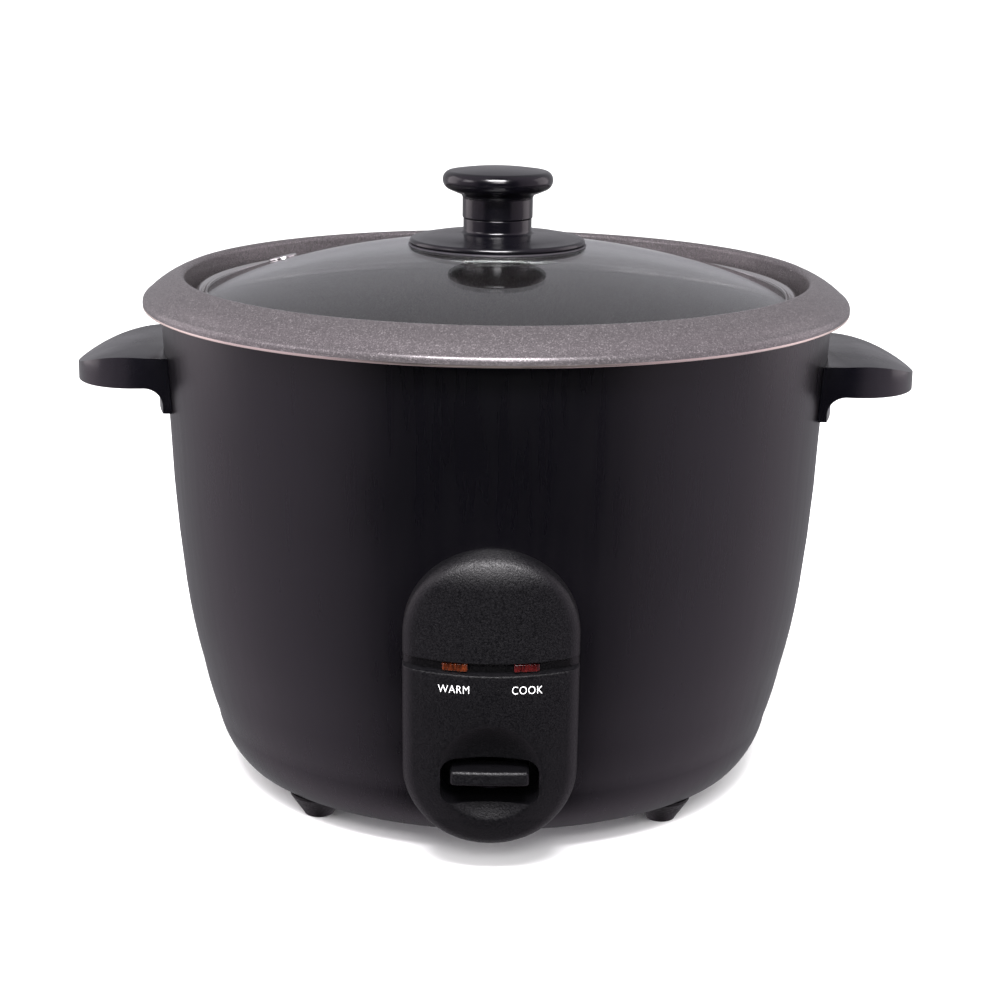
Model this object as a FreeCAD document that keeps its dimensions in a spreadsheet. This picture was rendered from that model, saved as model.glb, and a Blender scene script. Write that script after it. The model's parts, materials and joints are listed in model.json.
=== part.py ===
import FreeCAD, Part
import math
import os
import Sketcher
from FreeCAD import Placement, Rotation, Vector

# Drum-type electric rice cooker. Millimetres, +Z up, the control panel faces -Y.
# The origin is the centre of the footprint, on the surface that the feet stand on.

# ---------------------------------------------------------------------------
# Driving dimensions
# ---------------------------------------------------------------------------
SIZES = {
    # body shell: outside radii of the drum at its heights
    "sheet": 0.8,
    "shell_bottom_z": 11.0,
    "shell_bottom_r": 108.9,
    "shell_corner_z": 28.0,
    "shell_corner_r": 116.8,
    "shell_low_z": 50.0,
    "shell_low_r": 122.5,
    "shell_mid_z": 84.0,
    "shell_mid_r": 128.8,
    "shell_high_z": 148.0,
    "shell_high_r": 133.5,
    "shell_top_r": 136.3,
    "shell_top_z": 199.0,
    "shell_roll": 3.0,
    "shell_mouth_r": 129.3,
    "shell_mouth_z": 195.0,
    "shell_foot_flange_r": 98.0,
    # base cover, feet and their screws
    "cover_r": 105.5,
    "cover_thickness": 1.0,
    "cover_z": 10.0,
    "foot_circle_r": 97.0,
    "foot_top_r": 11.5,
    "foot_pad_r": 5.5,
    "base_screw_circle_r": 101.5,
    "vent_inner_r": 48.0,
    "vent_length": 34.0,
    "vent_width": 3.2,
    # heat shield between drum and pot
    "liner_r": 122.0,
    "liner_sheet": 0.5,
    "liner_top_z": 190.0,
    "liner_taper_z": 80.0,
    "liner_heel_r": 104.0,
    "liner_heel_z": 46.0,
    "liner_floor_r": 100.0,
    "liner_floor_z": 34.0,
    "liner_hole_r": 73.0,
    # inner pot
    "pot_wall": 1.6,
    "pot_bottom_z": 56.0,
    "pot_flat_r": 93.5,
    "pot_heel": 24.0,
    "pot_neck_r": 119.9,
    "pot_seat_z": 196.1,
    "pot_mouth_r": 126.4,
    "pot_crest_r": 128.4,
    "pot_crest_z": 210.0,
    "rim_bend_r": 141.9,
    "rim_bend_z": 201.6,
    "rim_r": 143.3,
    "rim_lip_z": 197.4,
    # heating plate, element and posts
    "plate_r": 88.0,
    "plate_top_z": 55.7,
    "plate_thickness": 8.0,
    "plate_hole_r": 19.0,
    "element_ring_r": 62.0,
    "element_tube_r": 3.6,
    "element_z": 44.0,
    "element_sweep": 322.0,
    "post_circle_r": 80.0,
    "post_r": 4.5,
    # magnetic thermostat in the middle of the plate
    "cap_r": 15.0,
    "cap_wall": 0.8,
    "cap_height": 15.7,
    "ferrite_r": 13.4,
    "ferrite_thickness": 4.2,
    "guide_gap": 0.6,
    "guide_floor_z": 26.0,
    "guide_rim_r": 26.0,
    "magnet_r": 10.0,
    "magnet_thickness": 4.0,
    "magnet_top_z": 42.6,
    "rod_r": 1.6,
    "rod_foot_z": 17.3,
    "rod_foot_r": 4.5,
    # lever
    "pivot_y": -60.0,
    "pivot_z": 26.0,
    "pin_r": 1.5,
    "arm_width": 14.0,
    "arm_sheet": 1.5,
    "arm_tip_z": 15.85,
    "key_width": 29.0,
    "key_height": 5.6,
    "key_z": 43.5,
    "key_front_y": -138.3,
    "key_depth": 14.3,
    # control panel
    "panel_width": 64.4,
    "panel_bottom_z": 12.5,
    "panel_top_z": 130.0,
    "panel_axis_y": -53.0,
    "panel_face_r": 90.0,
    "panel_wall": 3.0,
    "panel_edge": 4.0,
    "groove_low_z": 85.2,
    "groove_high_z": 89.8,
    "groove_depth": 3.0,
    "lens_offset": 13.0,
    "lens_width": 9.6,
    "lens_height": 3.4,
    "dish_r": 22.0,
    "dish_z": 46.0,
    "slot_width": 36.5,
    "slot_low_z": 32.0,
    "slot_high_z": 50.0,
    "slot_corner": 5.0,
    "scoop_r": 36.0,
    "scoop_y": -166.2,
    "scoop_z": 39.3,
    "window_width": 48.0,
    "window_low_z": 24.0,
    "window_high_z": 118.0,
    # handles
    "handle_centre_x": 134.8,
    "handle_reach": 37.0,
    "handle_half_width": 40.0,
    "handle_top_z": 179.2,
    "handle_under_z": 167.0,
    "handle_root_z": 157.0,
    "handle_root_r": 137.6,
    "handle_crown": 57.9,
    "handle_tip_drop": 9.0,
    # appliance inlet at the back
    "inlet_z": 31.0,
    "inlet_mouth_y": 123.5,
    "inlet_depth": 17.0,
    "inlet_socket_width": 24.0,
    "inlet_socket_height": 16.5,
    "inlet_wall": 1.5,
    "inlet_flange_width": 42.0,
    "inlet_flange_height": 30.0,
    "inlet_screw_x": 17.0,
    # lid and knob
    "glass_sphere_r": 361.0,
    "glass_apex_z": 222.3,
    "glass_thickness": 4.0,
    "glass_edge_r": 120.4,
    "lid_rim_r": 122.1,
    "lid_rim_cover_r": 117.4,
    "lid_rim_low_z": 196.4,
    "lid_rim_top_z": 203.4,
    "lid_rim_sheet": 0.7,
    "vent_x": -91.0,
    "vent_y": 33.0,
    "vent_bore_r": 3.2,
    "vent_tube_r": 4.4,
    "vent_flange_r": 6.1,
    "knob_flange_r": 35.8,
    "knob_flange_low_z": 221.4,
    "knob_neck_foot_z": 225.7,
    "knob_neck_r": 13.9,
    "knob_split_z": 231.7,
    "knob_cap_neck_r": 14.3,
    "knob_cap_low_z": 241.6,
    "knob_cap_r": 22.4,
    "knob_top_z": 252.2,
    "knob_screw_r": 2.0,
}

# Clearances that are not tied to one piece
FIT = 0.15            # two pieces that are fastened face to face
BORE_PLAY = 0.06      # radial running play of a pin in its bore
SCREW_PLAY = 0.1      # radial play of a screw in its hole
HEAD_HEIGHT = 2.0     # height of every small screw head
HANDLE_SCREW_Y = 22.0  # each handle's two screws, either side of its middle
HANDLE_SCREW_Z = 165.5
HANDLE_SCREW_R = 1.8
BASE_SCREW_R = 1.5
BASE_SCREW_ANGLES = (0, 90, 180, 270)
POST_ANGLES = (90, 210, 330)  # the heating plate's three posts


class Size:
    """A number worked out from the sheet, with the expression that keeps it tied to the sheet."""

    def __init__(self, value, text):
        self.value = float(value)
        self.text = text

    def __add__(self, other):
        other = as_size(other)
        return Size(self.value + other.value, f"({self.text} + {other.text})")

    def __sub__(self, other):
        other = as_size(other)
        return Size(self.value - other.value, f"({self.text} - {other.text})")

    def __mul__(self, other):
        other = as_size(other)
        return Size(self.value * other.value, f"({self.text} * {other.text})")

    def __truediv__(self, other):
        other = as_size(other)
        return Size(self.value / other.value, f"({self.text} / {other.text})")

    def __radd__(self, other):
        return as_size(other) + self

    def __rsub__(self, other):
        return as_size(other) - self

    def __rmul__(self, other):
        return as_size(other) * self

    def __neg__(self):
        return as_size(0.0) - self


def as_size(item):
    if isinstance(item, Size):
        return item
    return Size(item, f"({float(item)!r})")


def root(size):
    """Square root, for a point on a circle."""
    return Size(math.sqrt(size.value), f"sqrt({size.text})")


class Sheet:
    """The spreadsheet: sheet.name is the Size that its cell holds."""

    def __init__(self, document, sizes):
        table = document.addObject("Spreadsheet::Sheet", "Sizes")
        for row, (name, value) in enumerate(sizes.items(), start=1):
            table.set(f"A{row}", name)
            table.set(f"B{row}", str(value))
            table.setAlias(f"B{row}", name)
        document.recompute()
        for name in sizes:
            setattr(self, name, Size(table.get(name), f"Sizes.{name}"))


doc = FreeCAD.newDocument("rice_cooker")
sheet = Sheet(doc, SIZES)
nodes = {}


# ---------------------------------------------------------------------------
# Helpers
# ---------------------------------------------------------------------------
def bind(item, path, size):
    """Tie one property of an object to the sheet."""
    item.setExpression(path, as_size(size).text)


def place(item, position, rotation=None):
    """Put an object at a position made of sizes, turned by an optional Rotation."""
    vector = Vector(*[as_size(size).value for size in position])
    item.Placement = Placement(vector, rotation or Rotation())
    for letter, size in zip("xyz", position):
        bind(item, f"Placement.Base.{letter}", size)


def node(item, name):
    """Name a finished sub-part."""
    item.Label = name
    nodes[name] = item
    return item


def new_body(name):
    return doc.addObject("PartDesign::Body", name)


def new_sketch(body, name, plane):
    """A sketch on one of the body's own origin planes: XY, XZ or YZ."""
    sketch = body.newObject("Sketcher::SketchObject", name)
    planes = [item for item in body.Origin.OriginFeatures if item.Role == plane + "_Plane"]
    sketch.AttachmentSupport = [(planes[0], "")]
    sketch.MapMode = "FlatFace"
    return sketch


def arc_between(first, last, radius, turn):
    """The short arc from one point to another, turning left or right on the way."""
    side = 1.0 if turn == "left" else -1.0
    chord = last - first
    normal = Vector(-chord.y, chord.x, 0.0)
    normal.normalize()
    rise = math.sqrt(max(radius * radius - chord.Length ** 2 / 4.0, 0.0))
    centre = (first + last) * 0.5 + normal * (side * rise)
    start, end = (first, last) if turn == "left" else (last, first)
    start_angle = math.atan2(start.y - centre.y, start.x - centre.x)
    end_angle = math.atan2(end.y - centre.y, end.x - centre.x)
    circle = Part.Circle(centre, Vector(0, 0, 1), radius)
    return Part.ArcOfCircle(circle, start_angle, end_angle)


def outline(sketch, start, *moves):
    """Draw a closed outline, fully constrained to the sheet.

    Each move is (x, y) for a straight line to that point, or (x, y, radius, turn) for an arc.
    A straight line closes the outline, unless the last move already ends at the start.
    """
    corners = [[as_size(start[0]), as_size(start[1])]]
    corners += [[as_size(move[0]), as_size(move[1])] for move in moves]
    if all(first.value == last.value for first, last in zip(corners[0], corners[-1])):
        corners.pop()
    count = len(corners)
    points = [Vector(x.value, y.value, 0.0) for x, y in corners]
    first_edge = sketch.GeometryCount
    ends = []
    radii = []
    for index in range(count):
        first = points[index]
        last = points[(index + 1) % count]
        move = moves[index] if index < len(moves) else ()
        if len(move) == 4:
            radius = as_size(move[2])
            sketch.addGeometry(arc_between(first, last, radius.value, move[3]))
            ends.append((1, 2) if move[3] == "left" else (2, 1))
            radii.append((first_edge + index, radius))
        else:
            sketch.addGeometry(Part.LineSegment(first, last))
            ends.append((1, 2))
    for index in range(count):
        edge = first_edge + index
        following = (index + 1) % count
        sketch.addConstraint(Sketcher.Constraint(
            "Coincident", edge, ends[index][1], first_edge + following, ends[following][0]))
        for kind, size in zip(("DistanceX", "DistanceY"), corners[index]):
            number = sketch.addConstraint(Sketcher.Constraint(
                kind, -1, 1, edge, ends[index][0], size.value))
            bind(sketch, f"Constraints[{number}]", size)
    for edge, radius in radii:
        number = sketch.addConstraint(Sketcher.Constraint("Radius", edge, radius.value))
        bind(sketch, f"Constraints[{number}]", radius)


def circle(sketch, x, y, radius):
    """Draw a circle in a sketch, tied to the sheet."""
    x, y, radius = as_size(x), as_size(y), as_size(radius)
    edge = sketch.addGeometry(Part.Circle(Vector(x.value, y.value, 0), Vector(0, 0, 1), radius.value))
    for kind, size in (("DistanceX", x), ("DistanceY", y)):
        number = sketch.addConstraint(Sketcher.Constraint(kind, -1, 1, edge, 3, size.value))
        bind(sketch, f"Constraints[{number}]", size)
    number = sketch.addConstraint(Sketcher.Constraint("Radius", edge, radius.value))
    bind(sketch, f"Constraints[{number}]", radius)


def revolve(body, name, start, *moves):
    """Turn an outline in the XZ plane once round the Z axis."""
    sketch = new_sketch(body, name + "_section", "XZ")
    outline(sketch, start, *moves)
    feature = body.newObject("PartDesign::Revolution", name + "_turned")
    feature.Profile = sketch
    feature.ReferenceAxis = (sketch, ["V_Axis"])
    feature.Angle = 360
    return feature


def turned(name, start, *moves):
    """A body of revolution about its own Z axis."""
    body = new_body(name)
    revolve(body, name, start, *moves)
    return body


def pad(body, sketch, name, length, reverse=False, middle=False):
    feature = body.newObject("PartDesign::Pad", name)
    feature.Profile = sketch
    feature.SideType = "Symmetric" if middle else "One side"
    feature.Reversed = reverse
    bind(feature, "Length", length)
    return feature


def padded(name, plane, length, start, *moves, middle=False, reverse=False):
    """A body made by padding one outline from one of its origin planes."""
    body = new_body(name)
    sketch = new_sketch(body, name + "_outline", plane)
    outline(sketch, start, *moves)
    pad(body, sketch, name + "_pad", length, reverse, middle)
    return body


def pocket_through(body, sketch, name, reverse=False):
    """A pocket through everything on one side of the sketch. It has to remove something."""
    doc.recompute()
    before = body.Shape.Volume
    feature = body.newObject("PartDesign::Pocket", name)
    feature.Profile = sketch
    feature.Type = "ThroughAll"
    feature.Reversed = reverse
    doc.recompute()
    if body.Shape.Volume >= before:
        raise RuntimeError(f"{name} removes nothing")
    return feature


def cylinder(name, radius, height, position=(0, 0, 0), rotation=None):
    item = doc.addObject("Part::Cylinder", name)
    bind(item, "Radius", radius)
    bind(item, "Height", height)
    place(item, position, rotation)
    return item


def box(name, low, high):
    """A box between two corners made of sizes."""
    item = doc.addObject("Part::Box", name)
    spans = [as_size(top) - as_size(bottom) for bottom, top in zip(low, high)]
    for side, span in zip(("Length", "Width", "Height"), spans):
        bind(item, side, span)
    place(item, low)
    return item


def fuse(name, *items):
    item = doc.addObject("Part::MultiFuse", name)
    item.Shapes = list(items)
    return item


def common(name, first, second):
    item = doc.addObject("Part::Common", name)
    item.Base = first
    item.Tool = second
    return item


def cut(name, base, *tools):
    item = doc.addObject("Part::Cut", name)
    item.Base = base
    item.Tool = tools[0] if len(tools) == 1 else group(name + "_tools", *tools)
    return item


def group(name, *items):
    """Separate solids kept together in one object."""
    item = doc.addObject("Part::Compound", name)
    item.Links = list(items)
    return item


def fillet(name, base, radius, chosen):
    """Round the edges of a part that chosen(edge) picks."""
    doc.recompute()
    edges = [(number, radius.value, radius.value)
             for number, edge in enumerate(base.Shape.Edges, start=1) if chosen(edge)]
    item = doc.addObject("Part::Fillet", name)
    item.Base = base
    item.Edges = edges
    return item


def polar(radius, degrees):
    """A point on a circle about the Z axis, made of sizes."""
    angle = math.radians(degrees)
    return radius * math.cos(angle), radius * math.sin(angle)


ALONG_X = Rotation(Vector(0, 1, 0), 90)
ALONG_Y = Rotation(Vector(1, 0, 0), -90)
AGAINST_Y = Rotation(Vector(1, 0, 0), 90)


def screw(name, position, rotation, shank_r, shank_length, head_r, head_height=HEAD_HEIGHT):
    """A pan-head screw: its head's underside is at the position, its shank runs along local +Z."""
    body = turned(
        name, (0, -as_size(head_height)),
        (head_r - 0.8, -as_size(head_height)),
        (head_r, -as_size(head_height) + 0.8, 0.8, "left"),
        (head_r, 0), (shank_r, 0), (shank_r, shank_length - 0.5),
        (shank_r - 0.5, shank_length), (0, shank_length))
    place(body, position, rotation)
    return body


def spring(name, radius, wire_r, low_z, high_z, turns):
    """A round wire coil about the Z axis, whose wire just touches both heights.

    Each turn is a level half ring and a sloping half ring that climbs the whole pitch. They meet
    face to face, because both run straight across the X axis.
    """
    pitch = (high_z - low_z - 2 * wire_r) / turns
    sloping_r = root(radius * radius + pitch * pitch / 4)
    slope = math.degrees(math.asin(pitch.value / 2 / sloping_r.value))
    halves = []
    for turn in range(turns):
        level_z = low_z + wire_r + pitch * turn
        halves.append(half_ring(f"{name}_level_{turn}", radius, wire_r, level_z, Rotation()))
        climb = Rotation(Vector(0, 1, 0), -slope).multiply(Rotation(Vector(0, 0, 1), 180))
        halves.append(half_ring(f"{name}_climb_{turn}", sloping_r, wire_r, level_z + pitch / 2, climb))
    return fuse(name, *halves)


def half_ring(name, radius, wire_r, height, rotation):
    ring = doc.addObject("Part::Torus", name)
    bind(ring, "Radius1", radius)
    bind(ring, "Radius2", wire_r)
    bind(ring, "Angle3", 180)
    place(ring, (0, 0, height), rotation)
    return ring


# ---------------------------------------------------------------------------
# Body shell, heat shield, base cover and feet
# ---------------------------------------------------------------------------
def shell_outside(offset):
    """The drum's outside from its bottom ring up to its wall's top, moved out by an offset."""
    return [
        (sheet.shell_bottom_r + offset, sheet.shell_bottom_z),
        (sheet.shell_corner_r + offset, sheet.shell_corner_z, 34.0, "left"),
        (sheet.shell_low_r + offset, sheet.shell_low_z, 160.0, "left"),
        (sheet.shell_mid_r + offset, sheet.shell_mid_z, 260.0, "left"),
        (sheet.shell_high_r + offset, sheet.shell_high_z, 700.0, "left"),
        (sheet.shell_top_r + offset, sheet.shell_top_z - sheet.shell_roll),
    ]


def drum(name, offset):
    """The whole space inside the drum's outside, to trim what is fixed on it."""
    points = shell_outside(offset)
    return turned(name, (0, sheet.shell_bottom_z - 8), (points[0][0], sheet.shell_bottom_z - 8),
                  *points, (0, sheet.shell_top_z - sheet.shell_roll))


def body_shell():
    """Painted sheet steel drum: rolled in at the top and flanged in at the bottom."""
    body = new_body("body_shell")
    outside = shell_outside(0)
    inside = shell_outside(-sheet.sheet)
    top = sheet.shell_top_z
    lip_r = sheet.shell_mouth_r
    flange_top = sheet.shell_bottom_z + sheet.sheet
    inner_wall = [(inside[4][0], inside[4][1]),
                  (inside[3][0], inside[3][1], 700.0, "right"),
                  (inside[2][0], inside[2][1], 260.0, "right"),
                  (inside[1][0], inside[1][1], 160.0, "right"),
                  (inside[0][0], flange_top, 34.0, "right")]
    revolve(
        body, "body_shell",
        (sheet.shell_foot_flange_r, sheet.shell_bottom_z),
        *outside,
        (sheet.shell_top_r - sheet.shell_roll, top, sheet.shell_roll, "left"),
        (lip_r + 1.5, top),
        (lip_r, top - 1.5, 1.5, "left"),
        (lip_r, sheet.shell_mouth_z),
        (lip_r + sheet.sheet, sheet.shell_mouth_z),
        (lip_r + sheet.sheet, top - sheet.sheet),
        (sheet.shell_top_r - sheet.shell_roll, top - sheet.sheet),
        (sheet.shell_top_r - sheet.sheet, top - sheet.shell_roll, sheet.shell_roll - sheet.sheet, "right"),
        *inner_wall,
        (sheet.shell_foot_flange_r, flange_top))
    window = new_sketch(body, "panel_window", "XZ")
    stadium(window, sheet.window_width / 2, sheet.window_low_z, sheet.window_high_z)
    pocket_through(body, window, "panel_window_cut", reverse=True)
    inlet = new_sketch(body, "inlet_window", "XZ")
    half_x = sheet.inlet_socket_width / 2 + sheet.inlet_wall + FIT
    half_z = sheet.inlet_socket_height / 2 + sheet.inlet_wall + FIT
    outline(inlet, (-half_x, sheet.inlet_z - half_z), (half_x, sheet.inlet_z - half_z),
            (half_x, sheet.inlet_z + half_z), (-half_x, sheet.inlet_z + half_z))
    for side in (-1, 1):
        circle(inlet, sheet.inlet_screw_x * side, sheet.inlet_z, 1.4 + SCREW_PLAY)
    pocket_through(body, inlet, "inlet_window_cut")
    handle_holes = new_sketch(body, "handle_holes", "YZ")
    for side in (-1, 1):
        circle(handle_holes, HANDLE_SCREW_Y * side, HANDLE_SCREW_Z, HANDLE_SCREW_R + SCREW_PLAY)
    pocket_through(body, handle_holes, "handle_holes_right")
    handle_holes_left = new_sketch(body, "handle_holes_left", "YZ")
    for side in (-1, 1):
        circle(handle_holes_left, HANDLE_SCREW_Y * side, HANDLE_SCREW_Z, HANDLE_SCREW_R + SCREW_PLAY)
    pocket_through(body, handle_holes_left, "handle_holes_left_cut", reverse=True)
    base_holes = cut("body_shell_drilled", body, *base_screw_holes("shell"), *panel_screw_holes("shell"))
    return node(base_holes, "body_shell")




def stadium(sketch, half_width, low_z, high_z):
    """An upright outline with a half circle at each end."""
    outline(sketch, (-half_width, low_z + half_width),
            (0, low_z, half_width, "left"),
            (half_width, low_z + half_width, half_width, "left"),
            (half_width, high_z - half_width),
            (0, high_z, half_width, "left"),
            (-half_width, high_z - half_width, half_width, "left"))


def base_screw_holes(name):
    """Drills for the base cover's screws."""
    drills = []
    for angle in BASE_SCREW_ANGLES:
        x, y = polar(sheet.base_screw_circle_r, angle)
        drills.append(cylinder(f"{name}_drill_{angle}", BASE_SCREW_R + SCREW_PLAY, 20.0, (x, y, 0)))
    return drills


def panel_screw_places():
    """The panel's screws come from inside the drum, beside the window."""
    return [(side * 27.2, height) for side in (-1, 1) for height in (62.0, 100.0)]


def panel_screw_holes(name):
    return [cylinder(f"{name}_panel_drill_{index}", 1.5 + SCREW_PLAY, 20.0, (x, -118.0, z), AGAINST_Y)
            for index, (x, z) in enumerate(panel_screw_places())]


def inner_liner():
    """Aluminised heat shield: a can that hangs inside the drum and carries the heater."""
    wall = sheet.liner_sheet
    top = sheet.liner_top_z
    flange_r = sheet.shell_top_r - sheet.sheet - 0.9
    body = turned(
        "inner_liner",
        (sheet.liner_hole_r, sheet.liner_floor_z),
        (sheet.liner_floor_r, sheet.liner_floor_z),
        (sheet.liner_heel_r + wall, sheet.liner_heel_z, 24.0, "left"),
        (sheet.liner_r + wall, sheet.liner_taper_z),
        (sheet.liner_r + wall, top),
        (flange_r, top),
        (flange_r, top + wall),
        (sheet.liner_r, top + wall),
        (sheet.liner_r, sheet.liner_taper_z),
        (sheet.liner_heel_r, sheet.liner_heel_z),
        (sheet.liner_floor_r, sheet.liner_floor_z + wall, 24.0, "right"),
        (sheet.liner_hole_r, sheet.liner_floor_z + wall))
    drills = []
    for angle in POST_ANGLES:
        x, y = polar(sheet.post_circle_r, angle)
        drills.append(cylinder(f"liner_drill_{angle}", 2.0 + SCREW_PLAY, 20.0, (x, y, 24.0)))
    return node(cut("inner_liner_drilled", body, *drills), "inner_liner")




def base_cover():
    """Steel cover under the drum, with a ring of vent slots."""
    body = new_body("base_cover")
    disc = new_sketch(body, "base_cover_disc", "XY")
    circle(disc, 0, 0, sheet.cover_r)
    pad(body, disc, "base_cover_pad", sheet.cover_thickness)
    doc.recompute()
    slot = new_sketch(body, "vent_slot", "XY")
    half = sheet.vent_width / 2
    inner = sheet.vent_inner_r
    outer = sheet.vent_inner_r + sheet.vent_length
    outline(slot, (inner, -half), (outer, -half), (outer + half, 0, half, "left"),
            (outer, half, half, "left"),
            (inner, half), (inner - half, 0, half, "left"), (inner, -half, half, "left"))
    first_slot = body.newObject("PartDesign::Pocket", "vent_slot_cut")
    first_slot.Profile = slot
    first_slot.Type = "ThroughAll"
    first_slot.Reversed = True
    doc.recompute()
    pattern = body.newObject("PartDesign::PolarPattern", "vent_slots")
    pattern.Originals = [first_slot]
    pattern.Axis = (slot, ["N_Axis"])
    pattern.Angle = 360
    pattern.Occurrences = 20
    body.Tip = pattern
    place(body, (0, 0, sheet.cover_z))
    drilled = cut("base_cover_drilled", body, *base_screw_holes("cover"))
    return node(drilled, "base_cover")


def feet():
    """Four moulded feet, tapered from the base cover down to a flat pad."""
    for name, angle in (("foot_front_right", -45), ("foot_rear_right", 45),
                        ("foot_rear_left", 135), ("foot_front_left", 225)):
        foot = turned(name, (0, 0), (sheet.foot_pad_r, 0),
                      (sheet.foot_pad_r + 0.8, 0.8, 0.8, "left"),
                      (sheet.foot_top_r, sheet.cover_z), (0, sheet.cover_z))
        x, y = polar(sheet.foot_circle_r, angle)
        place(foot, (x, y, 0))
        node(foot, name)


def base_screws():
    screws = []
    for angle in BASE_SCREW_ANGLES:
        x, y = polar(sheet.base_screw_circle_r, angle)
        screws.append(screw(f"base_screw_{angle}", (x, y, sheet.cover_z), None, as_size(BASE_SCREW_R),
                            as_size(7.0), as_size(3.2)))
    return node(group("base_screws", *screws), "base_screws")


# ---------------------------------------------------------------------------
# Handles
# ---------------------------------------------------------------------------
def handle(name, side):
    """Moulded half-ellipse handle: a slab with a crowned end, and a root plate that hugs the drum."""
    centre_x = sheet.handle_centre_x
    half_width = sheet.handle_half_width
    round_r = root(as_size(0.5)) * root(sheet.handle_reach * sheet.handle_reach + half_width * half_width)
    plan = padded(
        name + "_plan", "XY", sheet.handle_top_z + 20,
        (centre_x - 24, -half_width),
        (centre_x, -half_width),
        (centre_x + sheet.handle_reach, 0, round_r, "left"),
        (centre_x, half_width, round_r, "left"),
        (centre_x - 24, half_width))
    under = sheet.handle_under_z
    top = sheet.handle_top_z
    tip_x = centre_x + sheet.handle_reach
    side_view = padded(
        name + "_side", "XZ", 100.0,
        (100.0, sheet.handle_root_z),
        (tip_x + 2, sheet.handle_root_z),
        (tip_x + 2, top - sheet.handle_tip_drop),
        (centre_x + 8, top, sheet.handle_crown, "left"),
        (100.0, top), middle=True)
    root_r = sheet.handle_root_r
    underside = turned(
        name + "_underside",
        (root_r, sheet.handle_root_z - 5),
        (tip_x + 6, sheet.handle_root_z - 5),
        (tip_x + 6, under - 2.4),
        (root_r + 7, under),
        (root_r, under - 7, 7.0, "left"))
    slab = cut(name + "_slab", common(name + "_block", plan, side_view), underside)
    trimmed = cut(name + "_trimmed", slab, drum(name + "_drum", FIT))
    rounded = fillet(name + "_rounded", trimmed, as_size(1.4),
                     lambda edge: edge_outside(edge, centre_x.value + 8.5, top.value - 8))
    drills = [cylinder(f"{name}_drill_{index}", HANDLE_SCREW_R, 8.0,
                       (129.0, HANDLE_SCREW_Y * way, HANDLE_SCREW_Z), ALONG_X)
              for index, way in enumerate((-1, 1))]
    drilled = cut(name + "_drilled", rounded, *drills)
    if side < 0:
        drilled.Placement = Placement(Vector(), Rotation(Vector(0, 0, 1), 180))
    return node(drilled, name)


def edge_outside(edge, x, z):
    """True for an edge that lies wholly beyond x and above z."""
    limits = edge.BoundBox
    return limits.XMin > x and limits.ZMin > z and limits.XLength + limits.YLength > 1.0


def handle_screws():
    """The handles' screws come from inside the drum."""
    screws = []
    for side in (-1, 1):
        turn = ALONG_X if side > 0 else ALONG_X.inverted()
        for way in (-1, 1):
            inside_x = inner_wall_reach(HANDLE_SCREW_Z, HANDLE_SCREW_Y + HANDLE_SCREW_R)
            screws.append(screw(f"handle_screw_{side}_{way}",
                                (inside_x * side, HANDLE_SCREW_Y * way, HANDLE_SCREW_Z), turn,
                                as_size(HANDLE_SCREW_R - SCREW_PLAY), as_size(5.5), as_size(3.4)))
    return node(group("handle_screws", *screws), "handle_screws")


# ---------------------------------------------------------------------------
# Control panel with its lenses and lamps
# ---------------------------------------------------------------------------
def panel_face(name, inset):
    """The panel's convex face as a solid of revolution about its own upright axis."""
    face = sheet.panel_face_r - inset
    body = turned(
        name, (0, sheet.panel_bottom_z - 2), (face - 17, sheet.panel_bottom_z - 2),
        (face - 10, 25.0, 40.0, "left"),
        (face - 4, 50.0, 90.0, "left"),
        (face, 100.0, 240.0, "left"),
        (face, 118.0),
        (face - 7, sheet.panel_top_z, 14.0, "left"),
        (face - 7, sheet.panel_top_z + 1), (0, sheet.panel_top_z + 1))
    place(body, (0, sheet.panel_axis_y, 0))
    return body


def panel_outline(name, inset):
    """The panel's stadium outline as a block from the drum's middle out to the front."""
    body = new_body(name)
    sketch = new_sketch(body, name + "_outline", "XZ")
    stadium(sketch, sheet.panel_width / 2 - inset, sheet.panel_bottom_z + inset, sheet.panel_top_z - inset)
    pad(body, sketch, name + "_pad", 160.0)
    return body


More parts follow.
